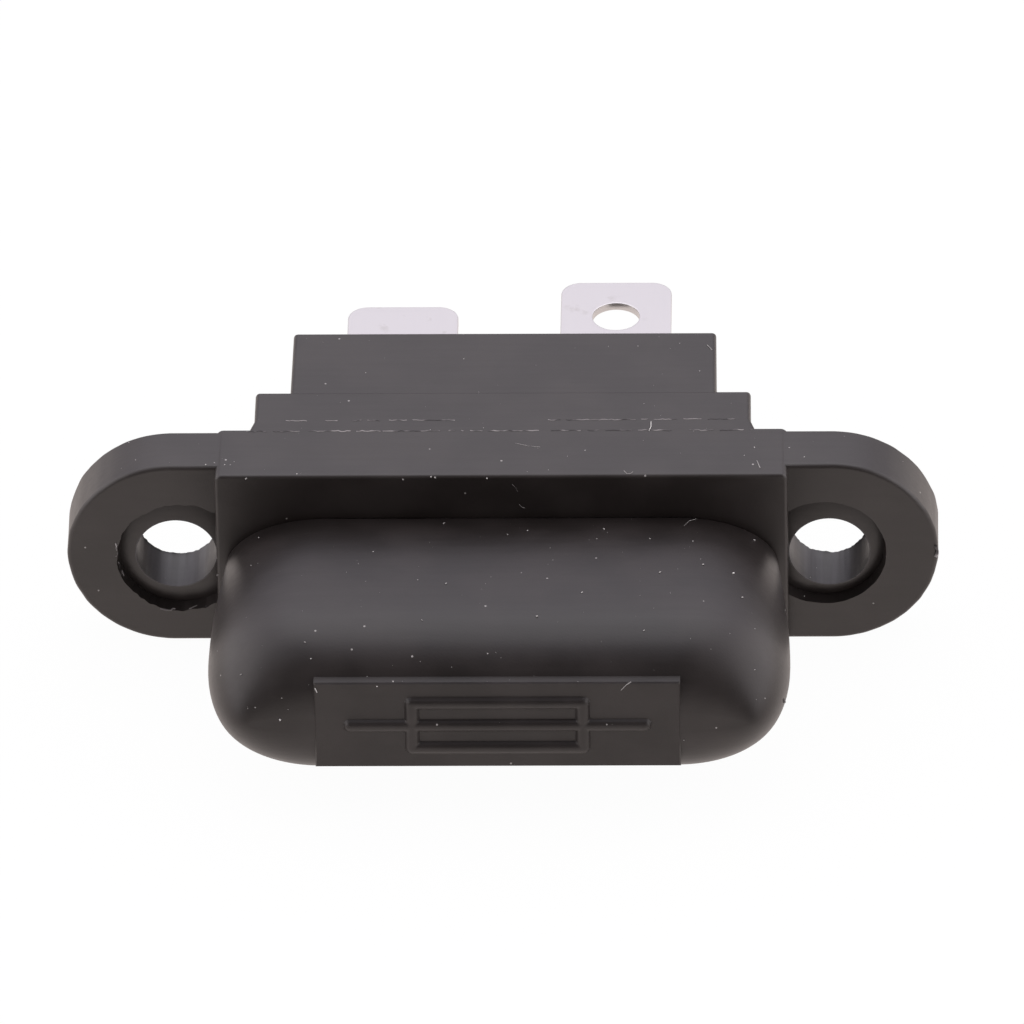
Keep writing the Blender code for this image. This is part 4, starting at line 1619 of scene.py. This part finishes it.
@dataclass
class Wear:
    """Threads, bright specks and torn flash, laid where the photograph shows them."""

    sight: PhotoSight
    lint: Finish = FLUFF
    flash: Finish = FLASH
    step: float = 3.0
    gap_share: float = 0.35
    unevenness: float = 1.1
    uneven_pitch: float = 0.12 * MM
    speck_reach: float = 0.7
    speck_radii: tuple[float, ...] = (0.024 * MM, 0.03 * MM, 0.04 * MM)
    seed: int = 5

    THREADS = (
        Mark(((651, 422), (651, 427), (649, 431)), 0.022 * MM),
        Mark(((624, 471), (627, 474), (630, 474), (633, 472)), 0.018 * MM),
        Mark(((512, 484), (516, 488), (518, 492)), 0.004 * MM),
        Mark(((519, 504), (522, 507), (525, 508)), 0.006 * MM),
        Mark(((684, 526), (689, 521), (697, 519)), 0.008 * MM),
        Mark(((621, 690), (626, 685), (631, 682)), 0.014 * MM),
        Mark(((707, 345), (712, 350), (718, 351)), 0.02 * MM, 0.3),
        Mark(((757, 461), (760, 468)), 0.02 * MM),
        Mark(((515, 443), (528, 446), (540, 447)), 0.006 * MM, 0.4),
        Mark(((315, 688), (317, 692)), 0.035 * MM),
    )
    SPECKS = (
        (403, 479), (431, 477), (435, 477), (487, 478), (246, 479), (604, 529), (650, 539), (660, 573),
        (754, 540), (703, 565), (733, 574), (742, 598), (644, 631), (582, 593), (537, 617), (684, 740),
        (444, 524), (446, 584), (422, 620), (305, 642), (311, 659), (393, 682), (377, 686), (280, 719),
        (241, 675), (218, 575),
    )
    TEARS = (
        Mark(((246, 431.5), (380, 431), (560, 430.5), (756, 430)), 0.045 * MM, 0.3, 0.5, 0.7),
        Mark(((280, 421), (455, 420)), 0.03 * MM, 0.4, 0.4, 0.6),
        Mark(((548, 420), (735, 419)), 0.03 * MM, 0.4, 0.4, 0.6),
        Mark(((116, 543), (117, 556), (120, 568), (127, 581)), 0.045 * MM, 0.4, 1.0, 0.5),
        Mark(((154, 607), (164, 610), (176, 609)), 0.045 * MM, 0.3, 0.8, 0.4),
        Mark(((189, 609), (197, 606)), 0.035 * MM, 0.3, 0.8, 0.4),
        Mark(((935.5, 546), (938.5, 551), (935.5, 556)), 0.085 * MM, 0.0, 0.2, 0.1, (-9.0, 0.0)),
        Mark(((787.5, 700), (788.5, 706), (788, 711)), 0.055 * MM, 0.0, 0.2, 0.1, (-4.0, 0.0)),
    )

    def tree(self) -> GeometryGraph:
        """Return the Geometry Nodes tree that turns a mesh's edges into uneven threads."""
        graph = GeometryGraph("thin_threads", {"Radius": float, "Unevenness": float, "Grain": float})
        source = graph.given("Geometry")
        line = graph.node("GeometryNodeMeshToCurve", sockets={"Mesh": source})
        place = graph.node("GeometryNodeInputPosition")
        wave = graph.noise(place, graph.given("Grain"))
        radius = graph.given("Radius") * ((wave - 0.5) * graph.given("Unevenness") + 1)
        ring = graph.node("GeometryNodeCurvePrimitiveCircle", sockets={"Resolution": 6, "Radius": 1.0})
        tube = graph.node("GeometryNodeCurveToMesh", sockets={
            "Curve": line, "Profile Curve": ring, "Scale": radius, "Fill Caps": True,
        })
        graph.close(tube)
        return graph

    def line(self, mark: Mark, chance: random.Random) -> tuple[Body, list[list[Vector]]] | None:
        """Lay one mark on the holder.

        Args:
            mark: what to lay.
            chance: the source of its gaps and strays.

        Returns:
            The body that it lies on and its unbroken runs of points, or None if no point was found.
        """
        runs: list[list[Vector]] = [[]]
        owner = None
        for start, end in zip(mark.path, mark.path[1:]):
            count = max(1, round(math.dist(start, end) / self.step))
            for index in range(count + 1):
                share = index / count
                pixel = tuple(
                    a + (b - a) * share + chance.uniform(-1, 1) * mark.stray for a, b in zip(start, end)
                )
                found = self.sight.spot(pixel, mark.inward)
                other = found and owner and found[0] is not owner
                if not found or other or chance.random() < mark.gaps * self.gap_share:
                    runs.append([])
                    continue
                owner, point, normal = found
                if index or len(runs[-1]) == 0:
                    runs[-1].append(point + normal * mark.radius * (1 - 2 * mark.sunk))
        runs = [run for run in runs if len(run) > 1]
        return (owner, runs) if runs else None

    def lay(self, name: str, marks: Iterable[Mark], finish: Finish) -> None:
        """Build the marks of one kind, one mesh for each body and radius."""
        chance = random.Random(self.seed)
        tree = self.tree()
        groups: dict[tuple[Body, float], list[list[Vector]]] = {}
        for mark in marks:
            laid = self.line(mark, chance)
            if laid:
                groups.setdefault((laid[0], mark.radius), []).extend(laid[1])
        meshes: dict[Body, bmesh.types.BMesh] = {}
        for (body, radius), runs in groups.items():
            points = [point for run in runs for point in run]
            starts = [sum(len(run) for run in runs[:index]) for index in range(len(runs))]
            edges = [
                (start + index, start + index + 1)
                for start, run in zip(starts, runs) for index in range(len(run) - 1)
            ]
            mesh = bpy.data.meshes.new("line")
            mesh.from_pydata(points, edges, [])
            part = new_object("line", mesh)
            tree.bake(
                part, Radius=radius, Unevenness=self.unevenness, Grain=1 / self.uneven_pitch,
                Material=finish.material(),
            )
            meshes.setdefault(body, bmesh.new()).from_mesh(part.data)
            bpy.data.objects.remove(part)
        for body, shape in meshes.items():
            bmesh.ops.recalc_face_normals(shape, faces=shape.faces)
            mesh = bpy.data.meshes.new(name)
            shape.to_mesh(mesh)
            shape.free()
            piece = new_object(f"{name}_on_{body.value}", mesh)
            finish.dress(piece)
            deliver(piece, None, body)

    def build(self) -> None:
        """Lay all the marks."""
        chance = random.Random(self.seed)
        reach = self.speck_reach
        specks = [
            Mark(((x - reach, y), (x + reach, y + chance.uniform(-1, 1))), chance.choice(self.speck_radii))
            for x, y in self.SPECKS
        ]
        self.lay("lint", [*self.THREADS, *specks], self.lint)
        self.lay("flash", self.TEARS, self.flash)


# Assembly


def main() -> None:
    """Build the fuse holder, its studio and its camera."""
    logging.basicConfig(level=logging.INFO, format="%(name)s %(message)s")
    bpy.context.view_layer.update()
    low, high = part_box("holder_body")
    layout = Layout()
    datum = Datum(low.y + layout.box_proud, (low.z + high.z) / 2)
    camera = StudioCamera(datum.point)
    camera.build()
    Studio().build()

    body_black = BoredMoulding(
        "satin_black_body", base=(0.0155, 0.0122, 0.011), clouded=(0.0228, 0.0187, 0.0172),
        roughness=0.42, bore_z=datum.z - HolderBody.bore_drop,
    )
    cap_black = Moulding(
        "satin_black_cap", base=(0.0115, 0.009, 0.0084), clouded=(0.019, 0.0154, 0.0146),
        roughness=0.4, ior=1.48,
    )
    tab_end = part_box("contact_right")[1].y - datum.y
    strip = ContactStrip(layout, datum, TinPlate(), tab_end)
    body = HolderBody(layout, datum, body_black).build(strip)
    cap = PillowCap(layout, datum, cap_black).build()
    for side in Side:
        strip.build(side)
    mouldings = {Body.HOLDER: body, Body.CAP: cap}
    Dust().build(mouldings)
    Wear(PhotoSight(camera, mouldings)).build()


if __name__ == "__main__":
    main()
